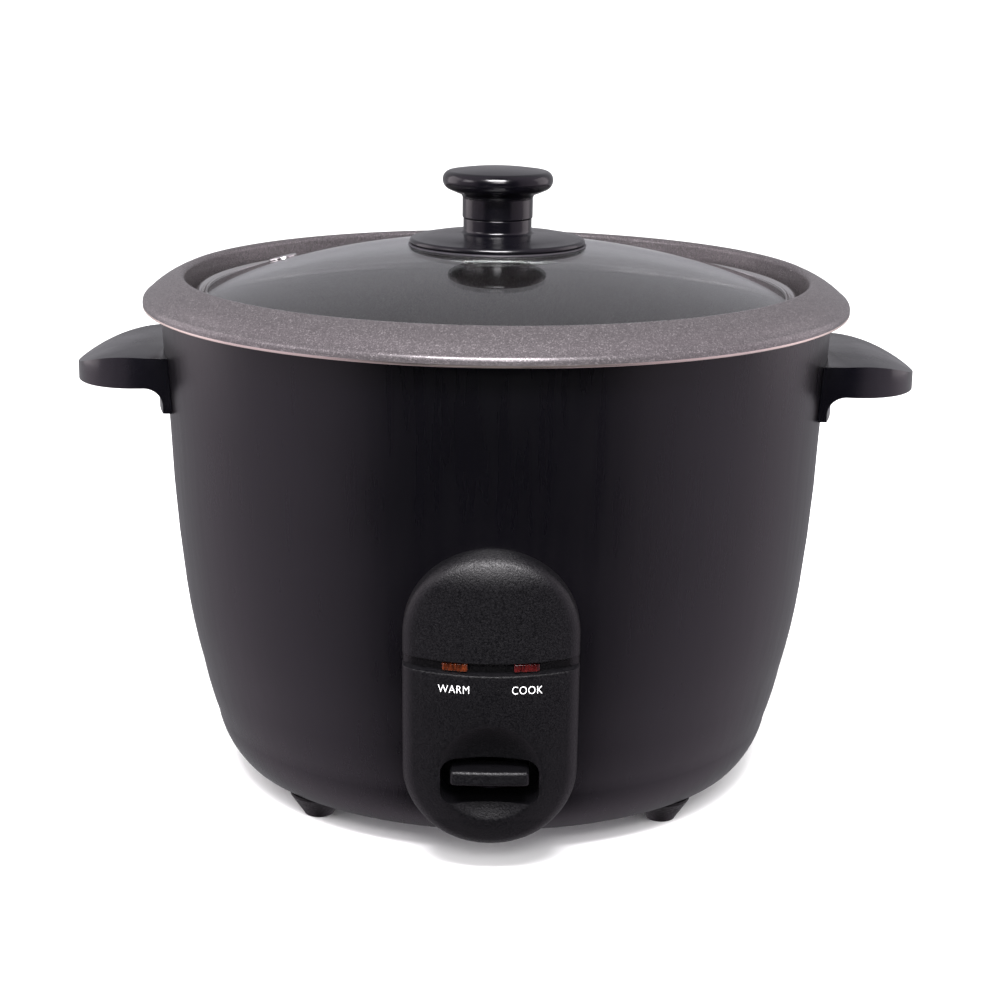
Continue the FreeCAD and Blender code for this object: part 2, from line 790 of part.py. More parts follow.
def control_panel():
    """Moulded panel on the drum's front: hollow, with a web for the lamps and a dish for the key."""
    block = common(
        "panel_block", panel_face("panel_face", as_size(0)), panel_outline("panel_plan", as_size(0)))
    edge_r = sheet.panel_edge
    rounded = fillet("panel_rounded", block, edge_r, panel_rim_edge)
    shell = cut("panel_on_drum", rounded, drum("panel_drum", FIT))
    wall = sheet.panel_wall
    hollow_space = common("panel_hollow", panel_face("panel_hollow_face", wall),
                          panel_outline("panel_hollow_plan", wall))
    web = box(
        "panel_web", (-80.0, -150.0, sheet.groove_low_z - wall), (80.0, -100.0, sheet.groove_high_z + wall))
    boss = cylinder("panel_boss", sheet.dish_r + wall, 60.0, (0, -100.0, sheet.dish_z), AGAINST_Y)
    pillars = [cylinder(f"panel_pillar_{index}", 3.4, 60.0, (x, -100.0, z), AGAINST_Y)
               for index, (x, z) in enumerate(panel_screw_places())]
    hollow = cut("panel_hollow_trimmed", hollow_space, web, boss, *pillars)
    scoop = doc.addObject("Part::Sphere", "panel_scoop")
    bind(scoop, "Radius", sheet.scoop_r)
    place(scoop, (0, sheet.scoop_y, sheet.scoop_z))
    half = sheet.slot_width / 2
    slot = fillet("panel_slot",
                  box("panel_slot_block",
                      (-half, -150.0, sheet.slot_low_z), (half, -100.0, sheet.slot_high_z)),
                  sheet.slot_corner, lambda edge: edge.BoundBox.YLength > 1.0)
    drills = [cylinder(f"panel_drill_{index}", 1.5, 17.0, (x, -118.0, z), AGAINST_Y)
              for index, (x, z) in enumerate(panel_screw_places())]
    lens_holes = []
    for side in (-1, 1):
        x = sheet.lens_offset * side
        lens_holes.append(box(f"lens_hole_{side}",
                              (x - sheet.lens_width / 2, -150.0, lens_low_z()),
                              (x + sheet.lens_width / 2, -100.0, lens_low_z() + sheet.lens_height)))
    return node(cut("panel_finished", shell, hollow, panel_groove(), scoop, slot, *lens_holes, *drills),
                "control_panel")


def panel_rim_edge(edge):
    """True for the edges where the panel's face meets its side."""
    limits = edge.BoundBox
    return limits.YMax < -118 and limits.YLength + limits.XLength > 1.0 and limits.ZMin > 10.6


def panel_groove():
    """The shallow groove across the panel that holds both lenses."""
    inner = sheet.panel_face_r - sheet.groove_depth
    ring = turned("panel_groove", (inner, sheet.groove_low_z), (150.0, sheet.groove_low_z),
                  (150.0, sheet.groove_high_z), (inner, sheet.groove_high_z))
    place(ring, (0, sheet.panel_axis_y, 0))
    return ring


def lens_low_z():
    return (sheet.groove_low_z + sheet.groove_high_z) / 2 - sheet.lens_height / 2


def lenses_and_lamps():
    """A clear lens in each hole of the groove, with a neon lamp behind it."""
    front = sheet.panel_axis_y - sheet.panel_face_r + sheet.groove_depth
    for name, lamp_name, side in (("lens_warm", "lamp_warm", -1), ("lens_cook", "lamp_cook", 1)):
        x = sheet.lens_offset * side
        half = sheet.lens_width / 2 - FIT
        low = lens_low_z() + FIT
        block = box(name + "_block", (x - half, front + 0.2, low),
                    (x + half, front + 4.6, low + sheet.lens_height - 2 * FIT))
        node(fillet(name + "_rounded", block, as_size(0.6), lens_front_edge), name)
        bulb = cylinder(lamp_name + "_tube", 1.7, 9.0,
                        (x, front + 5.0, low + sheet.lens_height / 2 - FIT), ALONG_Y)
        node(fillet(lamp_name + "_rounded", bulb, as_size(1.2), lamp_front_edge), lamp_name)


def lens_front_edge(edge):
    return edge.BoundBox.YMax < -139.0


def lamp_front_edge(edge):
    return edge.BoundBox.YMax < -134.4 and edge.BoundBox.XLength > 1


def lamp_holder():
    """Moulded clip behind the panel's web that both lamps plug into."""
    z = (sheet.groove_low_z + sheet.groove_high_z) / 2
    plate = box("lamp_holder_plate", (-19.0, -126.4, z - 6), (19.0, -124.8, z + 6))
    drills = [cylinder(f"lamp_holder_hole_{side}", 1.7 + SCREW_PLAY, 6.0,
                       (sheet.lens_offset * side, -130.0, z), ALONG_Y) for side in (-1, 1)]
    return node(cut("lamp_holder_drilled", plate, *drills), "lamp_holder")


def panel_screws():
    screws = []
    for index, (x, z) in enumerate(panel_screw_places()):
        y = -inner_wall_reach(z, abs(x) + 2.8)
        screws.append(screw(f"panel_screw_{index}", (x, y, z), AGAINST_Y, as_size(1.4), as_size(9.0),
                            as_size(2.8)))
    return node(group("panel_screws", *screws), "panel_screws")


def shell_radius_at(z):
    """The drum's outside radius at a height, along the straight line between its given heights."""
    points = [(as_size(point[0]).value, as_size(point[1]).value) for point in shell_outside(0)]
    for (low_r, low_z), (high_r, high_z) in zip(points, points[1:]):
        if low_z <= z <= high_z:
            return low_r + (high_r - low_r) * (z - low_z) / (high_z - low_z)
    raise ValueError(z)


def inner_wall_reach(z, offset):
    """How far the drum's inner wall is from the axis at a height, at a sideways offset."""
    inner_r = shell_radius_at(z) - sheet.sheet.value - 0.25
    return math.sqrt(inner_r ** 2 - offset ** 2)


# ---------------------------------------------------------------------------
# Lever: key, arm, pivot, switch
# ---------------------------------------------------------------------------
def lever_arm_outline(sketch, half):
    """The bent strip seen from the side, from the rod's foot out to the key."""
    y, z, tip = sheet.pivot_y, sheet.pivot_z, sheet.arm_tip_z
    outline(sketch, (8.0, tip - half), (8.0, tip + half), (y + 17, tip + half),
            (y + 4, z + half), (y - 40, z + 1 + half), (-118.0, 41.0 + half), (-123.2, sheet.key_z + half),
            (-132.0, sheet.key_z + half), (-132.0, sheet.key_z - half), (-122.8, sheet.key_z - half),
            (-117.4, 41.0 - half), (y - 39.5, z + 1 - half), (y + 3.4, z - half), (y + 16.4, tip - half))


def lever_arm():
    """Steel strip that turns on the pivot pin and lifts the magnet rod."""
    body = new_body("lever_arm_strip")
    sketch = new_sketch(body, "lever_arm_side", "YZ")
    lever_arm_outline(sketch, sheet.arm_sheet / 2)
    pad(body, sketch, "lever_arm_pad", sheet.arm_width, middle=True)
    barrel = cylinder("lever_barrel", sheet.pin_r + 1.6, 20.0, (-10.0, sheet.pivot_y, sheet.pivot_z), ALONG_X)
    bore = cylinder(
        "lever_bore", sheet.pin_r + BORE_PLAY, 40.0, (-20.0, sheet.pivot_y, sheet.pivot_z), ALONG_X)
    return node(cut("lever_arm_bored", fuse("lever_arm_solid", body, barrel), bore), "lever_arm")


def lever_key():
    """The key that the finger presses, moulded over the arm's end."""
    half_w = sheet.key_width / 2
    half_h = sheet.key_height / 2
    front = sheet.key_front_y
    block = box("lever_key_block", (-half_w, front, sheet.key_z - half_h),
                (half_w, front + sheet.key_depth, sheet.key_z + half_h))
    rounded = fillet("lever_key_rounded", block, as_size(1.0), key_front_edge)
    strip = box("lever_key_strip", (-sheet.arm_width / 2, -132.0, sheet.key_z - sheet.arm_sheet / 2),
                (sheet.arm_width / 2, -100.0, sheet.key_z + sheet.arm_sheet / 2))
    return node(cut("lever_key_slotted", rounded, strip), "lever_key")


def key_front_edge(edge):
    return edge.BoundBox.YMax < sheet.key_front_y.value + 0.1


def lever_bracket():
    """Steel U bracket on the base cover that carries the pivot pin."""
    floor = sheet.shell_bottom_z
    y, z = sheet.pivot_y, sheet.pivot_z
    plate = box("bracket_plate", (-17.0, y - 9, floor), (17.0, y + 9, floor + 1.2))
    ears = [box(f"bracket_ear_{side}", (11.5 * side - 0.7, y - 6, floor + 1.2),
                (11.5 * side + 0.7, y + 6, z + 5)) for side in (-1, 1)]
    bore = cylinder("bracket_bore", sheet.pin_r, 40.0, (-20.0, y, z), ALONG_X)
    return node(cut("lever_bracket_bored", fuse("bracket_solid", plate, *ears), bore), "lever_bracket")


def lever_pivot_pin():
    pin = cylinder("lever_pivot_pin_rod", sheet.pin_r, 28.0, (-14.0, sheet.pivot_y, sheet.pivot_z), ALONG_X)
    return node(pin, "lever_pivot_pin")


def switch():
    """Mains switch beside the arm: a moulded block with two contact leaves on top."""
    floor = sheet.shell_bottom_z
    block = box("switch_block_body", (15.0, -46.0, floor), (29.0, -14.0, floor + 11))
    node(fillet("switch_block_rounded", block, as_size(1.0), lambda edge: edge.BoundBox.ZLength > 5),
         "switch_block")
    leaves = []
    for index, height in enumerate((floor + 11, floor + 15)):
        leaves.append(box(f"contact_leaf_{index}", (18.0, -44.0, height), (24.0, -16.0, height + 0.4)))
    posts = box("contact_post", (18.0, -44.0, floor + 11.4), (24.0, -40.0, floor + 15))
    tips = cylinder("contact_tip", 1.6, 1.4, (21.0, -18.5, floor + 11.4))
    return node(fuse("contact_leaves_solid", *leaves, posts, tips), "contact_leaves")


# ---------------------------------------------------------------------------
# Heating plate and magnetic thermostat
# ---------------------------------------------------------------------------
def heating_plate():
    """Cast aluminium plate under the pot, with a hole for the thermostat."""
    top = sheet.plate_top_z
    low = top - sheet.plate_thickness
    edge = sheet.plate_r
    hole = sheet.plate_hole_r
    body = turned(
        "heating_plate_casting", (hole, low), (edge - 6, low), (edge, low + 3), (edge, top - 2),
        (edge - 2, top, 2.0, "left"), (hole + 1, top), (hole, top - 1, 1.0, "left"))
    drills = []
    for angle in POST_ANGLES:
        x, y = polar(sheet.post_circle_r, angle)
        drills.append(cylinder(f"plate_drill_{angle}", 2.0 + SCREW_PLAY, 4.0, (x, y, low)))
    return node(cut("heating_plate_drilled", body, *drills), "heating_plate")


def heating_element():
    """Tubular element: most of a ring under the plate, with both cold ends turned down."""
    gap_half = (360.0 - sheet.element_sweep.value) / 2.0
    ring = doc.addObject("Part::Torus", "element_ring")
    bind(ring, "Radius1", sheet.element_ring_r)
    bind(ring, "Radius2", sheet.element_tube_r)
    bind(ring, "Angle3", sheet.element_sweep)
    place(ring, (0, 0, sheet.element_z), Rotation(Vector(0, 0, 1), 90 + gap_half))
    ends = []
    pins = []
    for side in (-1, 1):
        x, y = polar(sheet.element_ring_r, 90 + side * gap_half)
        ends.append(cylinder(f"element_end_{side}", sheet.element_tube_r, 16.0, (x, y, sheet.element_z - 16)))
        pins.append(cylinder(f"element_pin_{side}", 1.5, 5.0, (x, y, sheet.element_z - 21)))
    node(fuse("heating_element_tube", ring, *ends), "heating_element")
    return node(group("element_terminals_pair", *pins), "element_terminals")


def heater_posts():
    """Spacers between the heat shield's floor and the plate, with their screws."""
    low = sheet.liner_floor_z + sheet.liner_sheet
    high = sheet.plate_top_z - sheet.plate_thickness
    posts = []
    screws = []
    for angle in POST_ANGLES:
        x, y = polar(sheet.post_circle_r, angle)
        post = new_body(f"heater_post_{angle}")
        sketch = new_sketch(post, f"heater_post_ring_{angle}", "XY")
        circle(sketch, 0, 0, sheet.post_r)
        circle(sketch, 0, 0, 2.0 + SCREW_PLAY)
        pad(post, sketch, f"heater_post_pad_{angle}", high - low)
        place(post, (x, y, low))
        posts.append(post)
        screws.append(screw(f"heater_screw_{angle}", (x, y, sheet.liner_floor_z), None,
                            as_size(2.0), high - sheet.liner_floor_z + 3.5, as_size(4.0)))
    node(group("heater_posts_set", *posts), "heater_posts")
    return node(group("heater_screws_set", *screws), "heater_screws")


def sensor():
    """Thermostat cap that the pot presses down, its ferrite, guide and spring."""
    top = sheet.plate_top_z
    cap_r, wall = sheet.cap_r, sheet.cap_wall
    foot = top - sheet.cap_height
    cap = turned(
        "sensor_cap", (0, top - wall), (0, top), (cap_r - 1.5, top), (cap_r, top - 1.5, 1.5, "right"),
        (cap_r, foot), (cap_r - wall, foot), (cap_r - wall, top - wall))
    node(cap, "sensor_cap")
    ferrite_low = top - wall - sheet.ferrite_thickness
    ferrite = turned(
        "ferrite_core", (0, ferrite_low), (sheet.ferrite_r, ferrite_low), (sheet.ferrite_r, top - wall),
        (0, top - wall))
    node(ferrite, "ferrite_core")
    inner = cap_r + sheet.guide_gap
    floor = sheet.guide_floor_z
    rim_z = top - sheet.plate_thickness
    guide = turned(
        "sensor_guide", (3.0, floor), (inner + 1, floor), (inner + 1, rim_z - 1),
        (sheet.guide_rim_r, rim_z - 1),
        (sheet.guide_rim_r, rim_z), (inner, rim_z), (inner, floor + 1), (3.0, floor + 1))
    node(guide, "sensor_guide")
    return node(spring("sensor_spring_coil", cap_r - 0.9, as_size(0.5), floor + 1, foot, 4), "sensor_spring")


def magnet():
    """Ring magnet in its cup, on a rod that the lever lifts against a light spring."""
    top = sheet.magnet_top_z
    low = top - sheet.magnet_thickness
    ring = turned("magnet", (3.5, low), (sheet.magnet_r, low), (sheet.magnet_r, top), (3.5, top))
    node(ring, "magnet")
    cup_r = sheet.magnet_r + 1.0
    cup = turned(
        "magnet_cup", (sheet.rod_r, low - 1), (cup_r, low - 1), (cup_r, top - 1), (sheet.magnet_r, top - 1),
        (sheet.magnet_r, low), (sheet.rod_r, low))
    node(cup, "magnet_cup")
    foot = sheet.rod_foot_z
    rod = turned(
        "pull_rod", (0, foot), (sheet.rod_foot_r - 0.5, foot), (sheet.rod_foot_r, foot + 0.5, 0.5, "left"),
        (sheet.rod_foot_r, foot + 1.2), (sheet.rod_r, foot + 1.2), (sheet.rod_r, low),
        (sheet.rod_r + 1.2, low), (sheet.rod_r + 1.2, low + 1), (0, low + 1))
    node(rod, "pull_rod")
    return node(spring("return_spring_coil", sheet.rod_foot_r - 0.6, as_size(0.3), foot + 1.2,
                       sheet.guide_floor_z, 4), "return_spring")


def safety_parts():
    """Keep-warm thermostat under the heat shield, and the thermal fuse with its clamp."""
    floor = sheet.liner_floor_z
    x, y = polar(86.5, 135)
    can = cylinder("thermostat_can", 8.0, 5.0, (x, y, floor - 5))
    stem = cylinder("thermostat_base", 7.0, 6.0, (x, y, floor - 11))
    node(fuse("keep_warm_thermostat_solid", can, stem), "keep_warm_thermostat")
    plate_low = sheet.plate_top_z - sheet.plate_thickness
    fuse_r = as_size(2.0)
    tube = cylinder("thermal_fuse_tube", fuse_r, 16.0, (40.0, -8.0, plate_low - fuse_r), ALONG_Y)
    node(tube, "thermal_fuse")
    strap = box("fuse_strap", (33.0, -3.0, plate_low - 5), (47.0, 3.0, plate_low))
    channel = box(
        "fuse_channel", (40.0 - fuse_r, -10.0, plate_low - 2 * fuse_r), (40.0 + fuse_r, 10.0, plate_low))
    return node(cut("fuse_clamp_channel", strap, channel), "fuse_clamp")


# ---------------------------------------------------------------------------
# Appliance inlet
# ---------------------------------------------------------------------------
def power_inlet():
    """Moulded socket at the back, with three blades, held by two screws."""
    z = sheet.inlet_z
    mouth = sheet.inlet_mouth_y
    back = mouth - sheet.inlet_depth
    half_w = sheet.inlet_socket_width / 2
    half_h = sheet.inlet_socket_height / 2
    wall = sheet.inlet_wall
    flange = box("inlet_flange", (-sheet.inlet_flange_width / 2, 90.0, z - sheet.inlet_flange_height / 2),
                 (sheet.inlet_flange_width / 2, mouth, z + sheet.inlet_flange_height / 2))
    rounded = fillet("inlet_flange_rounded", flange, as_size(3.0),
                     lambda edge: edge.BoundBox.YLength > 5)
    seated = cut("inlet_flange_seated", rounded, drum("inlet_drum", FIT))
    housing = box("inlet_housing", (-half_w - wall, back - 2.0, z - half_h - wall),
                  (half_w + wall, mouth - 0.2, z + half_h + wall))
    socket = box("inlet_socket", (-half_w, back, z - half_h), (half_w, mouth + 5, z + half_h))
    blades = inlet_blades("hole")
    drills = [cylinder(f"inlet_drill_{side}", 1.4, 30.0, (sheet.inlet_screw_x * side, 100.0, z), ALONG_Y)
              for side in (-1, 1)]
    node(cut("power_inlet_socket", fuse("inlet_solid", seated, housing), socket, *blades, *drills),
         "power_inlet")
    node(group("inlet_pins_set", *inlet_blades("blade")), "inlet_pins")
    screws = [screw(f"inlet_screw_{side}", (sheet.inlet_screw_x * side, mouth, z), AGAINST_Y,
                    as_size(1.3), as_size(12.0), as_size(2.6), 1.6) for side in (-1, 1)]
    return node(group("inlet_screws_set", *screws), "inlet_screws")


def inlet_blades(name):
    """Live, neutral and earth blades, from the tabs inside out into the socket."""
    z = sheet.inlet_z
    back = sheet.inlet_mouth_y - sheet.inlet_depth
    return [box(f"inlet_{name}_{index}",
                (x - 1, back - 3.5, z + rise - 2), (x + 1, back + 13.5, z + rise + 2))
            for index, (x, rise) in enumerate(((-7.0, -1.5), (7.0, -1.5), (0.0, 3.5)))]


# ---------------------------------------------------------------------------
# Inner pot
# ---------------------------------------------------------------------------
def inner_pot():
    """Non-stick aluminium pot: straight wall, lid seat, and a wide turned-down rim."""
    wall = sheet.pot_wall
    bottom = sheet.pot_bottom_z
    flat = sheet.pot_flat_r
    heel = sheet.pot_heel
    neck = sheet.pot_neck_r
    seat = sheet.pot_seat_z
    mouth = sheet.pot_mouth_r
    bend_r, bend_z = sheet.rim_bend_r, sheet.rim_bend_z
    body = turned(
        "inner_pot",
        (0, bottom), (flat, bottom),
        (flat + heel, bottom + heel, heel, "left"),
        (neck, seat - wall - 1.5),
        (neck + 1.5, seat - wall, 1.5, "right"),
        (mouth - 1.2, seat - wall),
        (mouth + wall, seat - wall + 2.8, 2.8, "left"),
        (mouth + wall, sheet.pot_crest_z - 3.2),
        (bend_r - 1.6, bend_z - 2.2),
        (sheet.rim_r - wall, sheet.rim_lip_z + 1.4),
        (sheet.rim_r - wall, sheet.rim_lip_z),
        (sheet.rim_r, sheet.rim_lip_z),
        (sheet.rim_r, bend_z - 2.3),
        (bend_r, bend_z, 2.6, "left"),
        (sheet.pot_crest_r + 1.3, sheet.pot_crest_z - 0.5, 36.0, "left"),
        (mouth, sheet.pot_crest_z - 2.2, 2.2, "left"),
        (mouth, seat + 2.4),
        (mouth - 2.4, seat, 2.4, "right"),
        (neck, seat),
        (neck - wall, seat - 1.6, 1.6, "left"),
        (flat + heel - wall, bottom + heel),
        (flat, bottom + wall, heel - wall, "right"),
        (0, bottom + wall))
    return node(body, "inner_pot")


# ---------------------------------------------------------------------------
# Lid and knob
# ---------------------------------------------------------------------------
def dome_z(radius, offset=0.0):
    """Height on the glass dome's outside at a radius, with the sphere grown by an offset."""
    sphere = sheet.glass_sphere_r + offset
    centre = sheet.glass_apex_z - sheet.glass_sphere_r
    return centre + root(sphere * sphere - as_size(radius) * as_size(radius))


def vent_turn():
    """The rotation that leans local +Z along the dome's normal at the vent, and that normal."""
    x, y = SIZES["vent_x"], SIZES["vent_y"]
    rise = math.sqrt(SIZES["glass_sphere_r"] ** 2 - x * x - y * y)
    normal = Vector(x, y, rise)
    normal.normalize()
    return Rotation(Vector(0, 0, 1), normal), normal


def lid_glass():
    """Tempered glass dome with a hole for the knob's screw and one for the steam vent."""
    outer = sheet.glass_sphere_r
    inner = outer - sheet.glass_thickness
    edge = sheet.glass_edge_r
    hole = sheet.knob_screw_r + 1.5
    thickness = sheet.glass_thickness
    body = turned(
        "lid_glass_dome",
        (hole, dome_z(hole, -thickness)), (hole, dome_z(hole)),
        (edge, dome_z(edge), outer, "right"),
        (edge, dome_z(edge, -thickness)),
        (hole, dome_z(hole, -thickness), inner, "left"))
    turn, _ = vent_turn()
    drill = cylinder("vent_drill", sheet.vent_tube_r + FIT, 30.0, vent_place(-15.0), turn)
    return node(cut("lid_glass_drilled", body, drill), "lid_glass")


def vent_place(height):
    """A point on the vent's axis, at a height along the dome's normal from its outside."""
    radius = root(sheet.vent_x * sheet.vent_x + sheet.vent_y * sheet.vent_y)
    _, normal = vent_turn()
    return (sheet.vent_x + normal.x * height, sheet.vent_y + normal.y * height,
            dome_z(radius) + normal.z * height)


def vent_grommet():
    """Steel eyelet rolled over both faces of the glass."""
    bore, tube, flange = sheet.vent_bore_r, sheet.vent_tube_r, sheet.vent_flange_r
    low = -sheet.glass_thickness
    eyelet = turned(
        "vent_grommet", (bore, low - 0.9), (flange - 0.5, low - 0.9), (flange - 0.5, low - 0.1),
        (tube, low - 0.1),
        (tube, 0.1), (flange, 0.1), (flange - 0.6, 0.9, 0.9, "left"), (bore + 0.8, 1.0),
        (bore, 0.2, 0.8, "left"))
    turn, _ = vent_turn()
    place(eyelet, vent_place(0.0), turn)
    return node(eyelet, "vent_grommet")


def lid_rim():
    """Stainless channel folded round the glass's edge."""
    outer = sheet.lid_rim_r
    cover = sheet.lid_rim_cover_r
    low, top, skin = sheet.lid_rim_low_z, sheet.lid_rim_top_z, sheet.lid_rim_sheet
    gap = 0.1
    edge = sheet.glass_edge_r + gap
    under = -sheet.glass_thickness - gap
    body = turned(
        "lid_rim",
        (cover - 1.4, low), (outer - 0.8, low), (outer, low + 0.8, 0.8, "left"),
        (outer, top - 1.6), (outer - 1.6, top, 1.6, "left"), (cover + 0.6, dome_z(cover + 0.6, gap + skin)),
        (cover, dome_z(cover, gap)), (edge, dome_z(edge, gap)), (edge, dome_z(edge, under)),
        (edge, low + skin), (cover - 1.4, low + skin))
    return node(body, "lid_rim")


def knob():
    """Moulded knob: a flanged base on a soft gasket, and a cap screwed on through the glass."""
    flange = sheet.knob_flange_r
    low = sheet.knob_flange_low_z
    neck = sheet.knob_neck_r
    split = sheet.knob_split_z
    bore = sheet.knob_screw_r + SCREW_PLAY
    gasket_height = 0.7
    base = turned(
        "knob_base",
        (bore, dome_z(bore, gasket_height)),
        (bore, split), (neck - 0.5, split), (neck, split - 0.5, 0.5, "right"),
        (neck, sheet.knob_neck_foot_z + 0.8),
        (neck + 0.8, sheet.knob_neck_foot_z, 0.8, "left"),
        (flange - 1.4, low + 1.9, 90.0, "right"),
        (flange, low + 0.6, 1.4, "right"),
        (flange - 0.5, dome_z(flange - 0.5, gasket_height)),
        (bore, dome_z(bore, gasket_height), 362.0, "left"))
    node(base, "knob_base")
    gasket = turned(
        "knob_gasket", (bore + 2, dome_z(bore + 2)), (bore + 2, dome_z(bore + 2, gasket_height - 0.05)),
        (flange + 0.3, dome_z(flange + 0.3, gasket_height - 0.05), 361.7, "right"),
        (flange + 0.3, dome_z(flange + 0.3)), (bore + 2, dome_z(bore + 2), 361.0, "left"))
    node(gasket, "knob_gasket")
    cap_neck = sheet.knob_cap_neck_r
    cap_low = sheet.knob_cap_low_z
    cap_r = sheet.knob_cap_r
    top = sheet.knob_top_z
    crown_r = cap_r - 2.8
    crown = as_size(1.6)
    crown_sphere = (crown_r * crown_r + crown * crown) / (crown * 2)
    cap = turned(
        "knob_cap",
        (bore, split), (cap_neck, split), (cap_neck, cap_low - 2),
        (cap_neck + 2, cap_low, 2.0, "right"), (cap_r - 2.4, cap_low + 1.6),
        (cap_r, cap_low + 5.4, 4.2, "left"), (crown_r, top - crown, 3.6, "left"),
        (0, top, crown_sphere, "left"), (0, cap_low), (bore, cap_low))
    node(cap, "knob_cap")
    washer_top = dome_z(0, -sheet.glass_thickness) - 0.25
    washer = turned("knob_washer", (bore, washer_top - 1), (9.0, washer_top - 1), (9.0, washer_top),
                    (bore, washer_top))
    node(washer, "knob_washer")
    knob_screw = screw("knob_screw", (0, 0, washer_top - 1), None, sheet.knob_screw_r,
                       cap_low - washer_top, as_size(4.5), 2.6)
    return node(knob_screw, "knob_screw")


# ---------------------------------------------------------------------------
# Build, check and write
# ---------------------------------------------------------------------------
def build():
    body_shell()
    inner_liner()
    base_cover()
    feet()
    base_screws()
    handle("handle_right", 1)
    handle("handle_left", -1)
    handle_screws()
    control_panel()
    lenses_and_lamps()
    lamp_holder()
    panel_screws()
    lever_arm()
    lever_key()
    lever_bracket()
    lever_pivot_pin()
    switch()
    heating_plate()
    heating_element()
    heater_posts()
    sensor()
    magnet()
    safety_parts()
    power_inlet()
    inner_pot()
    lid_glass()
    vent_grommet()
    lid_rim()
    knob()
    doc.recompute()


def check():
    """Stop if any object failed, or any sub-part's shape is null or not valid."""
    for item in doc.Objects:
        if "Invalid" in item.State or "Error" in item.State:
            raise RuntimeError(f"{item.Name} failed: {item.State}")
    for name, item in nodes.items():
        if item.Shape.isNull() or not item.Shape.isValid() or not item.Shape.Solids:
            raise RuntimeError(f"{name} has no valid solid")


def export():
    os.makedirs("parts", exist_ok=True)
    for name, item in nodes.items():
        item.Shape.exportStep(f"parts/{name}.step")
        limits = item.Shape.BoundBox
        print(f"{name:22s} {len(item.Shape.Solids):2d} solids {item.Shape.Volume:10.1f} mm3  "
              f"z {limits.ZMin:6.1f} to {limits.ZMax:6.1f}")


build()
check()
export()
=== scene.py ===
import json
import math

import bmesh
import bpy
from mathutils import Matrix, Vector


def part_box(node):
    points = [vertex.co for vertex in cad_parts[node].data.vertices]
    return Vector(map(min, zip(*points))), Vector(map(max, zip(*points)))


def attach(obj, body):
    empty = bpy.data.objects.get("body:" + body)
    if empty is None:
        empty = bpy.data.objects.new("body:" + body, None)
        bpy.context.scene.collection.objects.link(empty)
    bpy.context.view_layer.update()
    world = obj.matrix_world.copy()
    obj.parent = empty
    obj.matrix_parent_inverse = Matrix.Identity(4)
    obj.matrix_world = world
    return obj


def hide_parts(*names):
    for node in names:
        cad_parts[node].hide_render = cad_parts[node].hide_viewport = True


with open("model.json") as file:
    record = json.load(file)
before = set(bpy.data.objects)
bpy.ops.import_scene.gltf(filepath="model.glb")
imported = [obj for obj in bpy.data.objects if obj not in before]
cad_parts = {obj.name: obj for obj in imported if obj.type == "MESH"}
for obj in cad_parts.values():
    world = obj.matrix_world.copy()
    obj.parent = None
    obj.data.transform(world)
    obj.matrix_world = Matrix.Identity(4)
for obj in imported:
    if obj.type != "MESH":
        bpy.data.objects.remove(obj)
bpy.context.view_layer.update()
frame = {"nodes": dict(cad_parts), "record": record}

# Lengths below are in millimetres, as on a drawing, and MM turns them into the scene's metres.
# The cooker stands on z = 0, its panel faces -Y.
MM = 0.001
SEGMENTS = 256

NODES = frame["nodes"]


def node_box(name):
    """A CAD node's low and high corners, in millimetres."""
    low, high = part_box(name)
    return [value / MM for value in low], [value / MM for value in high]


# ---------------------------------------------------------------------------
# Mesh helpers
# ---------------------------------------------------------------------------
def arc_points(first, last, radius, turn, step=math.radians(6)):
    """Points of the short arc from first to last, without first. It turns left or right."""
    (x0, y0), (x1, y1) = first, last
    dx, dy = x1 - x0, y1 - y0
    chord = math.hypot(dx, dy)
    side = 1 if turn == "left" else -1
    rise = math.sqrt(max(radius * radius - chord * chord / 4, 0.0))
    cx = (x0 + x1) / 2 - dy / chord * rise * side
    cy = (y0 + y1) / 2 + dx / chord * rise * side
    start = math.atan2(y0 - cy, x0 - cx)
    sweep = 2 * math.asin(min(chord / (2 * radius), 1.0)) * side
    count = max(2, math.ceil(abs(sweep) / step))
    return [(cx + radius * math.cos(start + sweep * i / count),
             cy + radius * math.sin(start + sweep * i / count)) for i in range(1, count + 1)]


def profile(start, *moves, step=math.radians(6)):
    """An outline's points: each move is (r, z) or (r, z, radius, turn)."""
    points = [start]
    for move in moves:
        if len(move) == 4:
            points += arc_points(points[-1], move[:2], move[2], move[3], step)
        else:
            points.append(move)
    return points


def new_object(name, mesh):
    """An object with the mesh, in the scene."""
    piece = bpy.data.objects.new(name, mesh)
    bpy.context.scene.collection.objects.link(piece)
    return piece


def from_bmesh(name, shape):
    """An object with the built shape as its mesh."""
    mesh = bpy.data.meshes.new(name)
    shape.to_mesh(mesh)
    shape.free()
    return new_object(name, mesh)


def smooth(piece, angle=32):
    """Smooth shading that keeps the edges sharper than the angle."""
    for face in piece.data.polygons:
        face.use_smooth = True
    piece.data.set_sharp_from_angle(angle=math.radians(angle))


def bake_modifiers(piece):
    """Replace the piece's mesh with the one its modifiers make."""
    graph = bpy.context.evaluated_depsgraph_get()
    mesh = bpy.data.meshes.new_from_object(piece.evaluated_get(graph))
    piece.modifiers.clear()
    piece.data = mesh


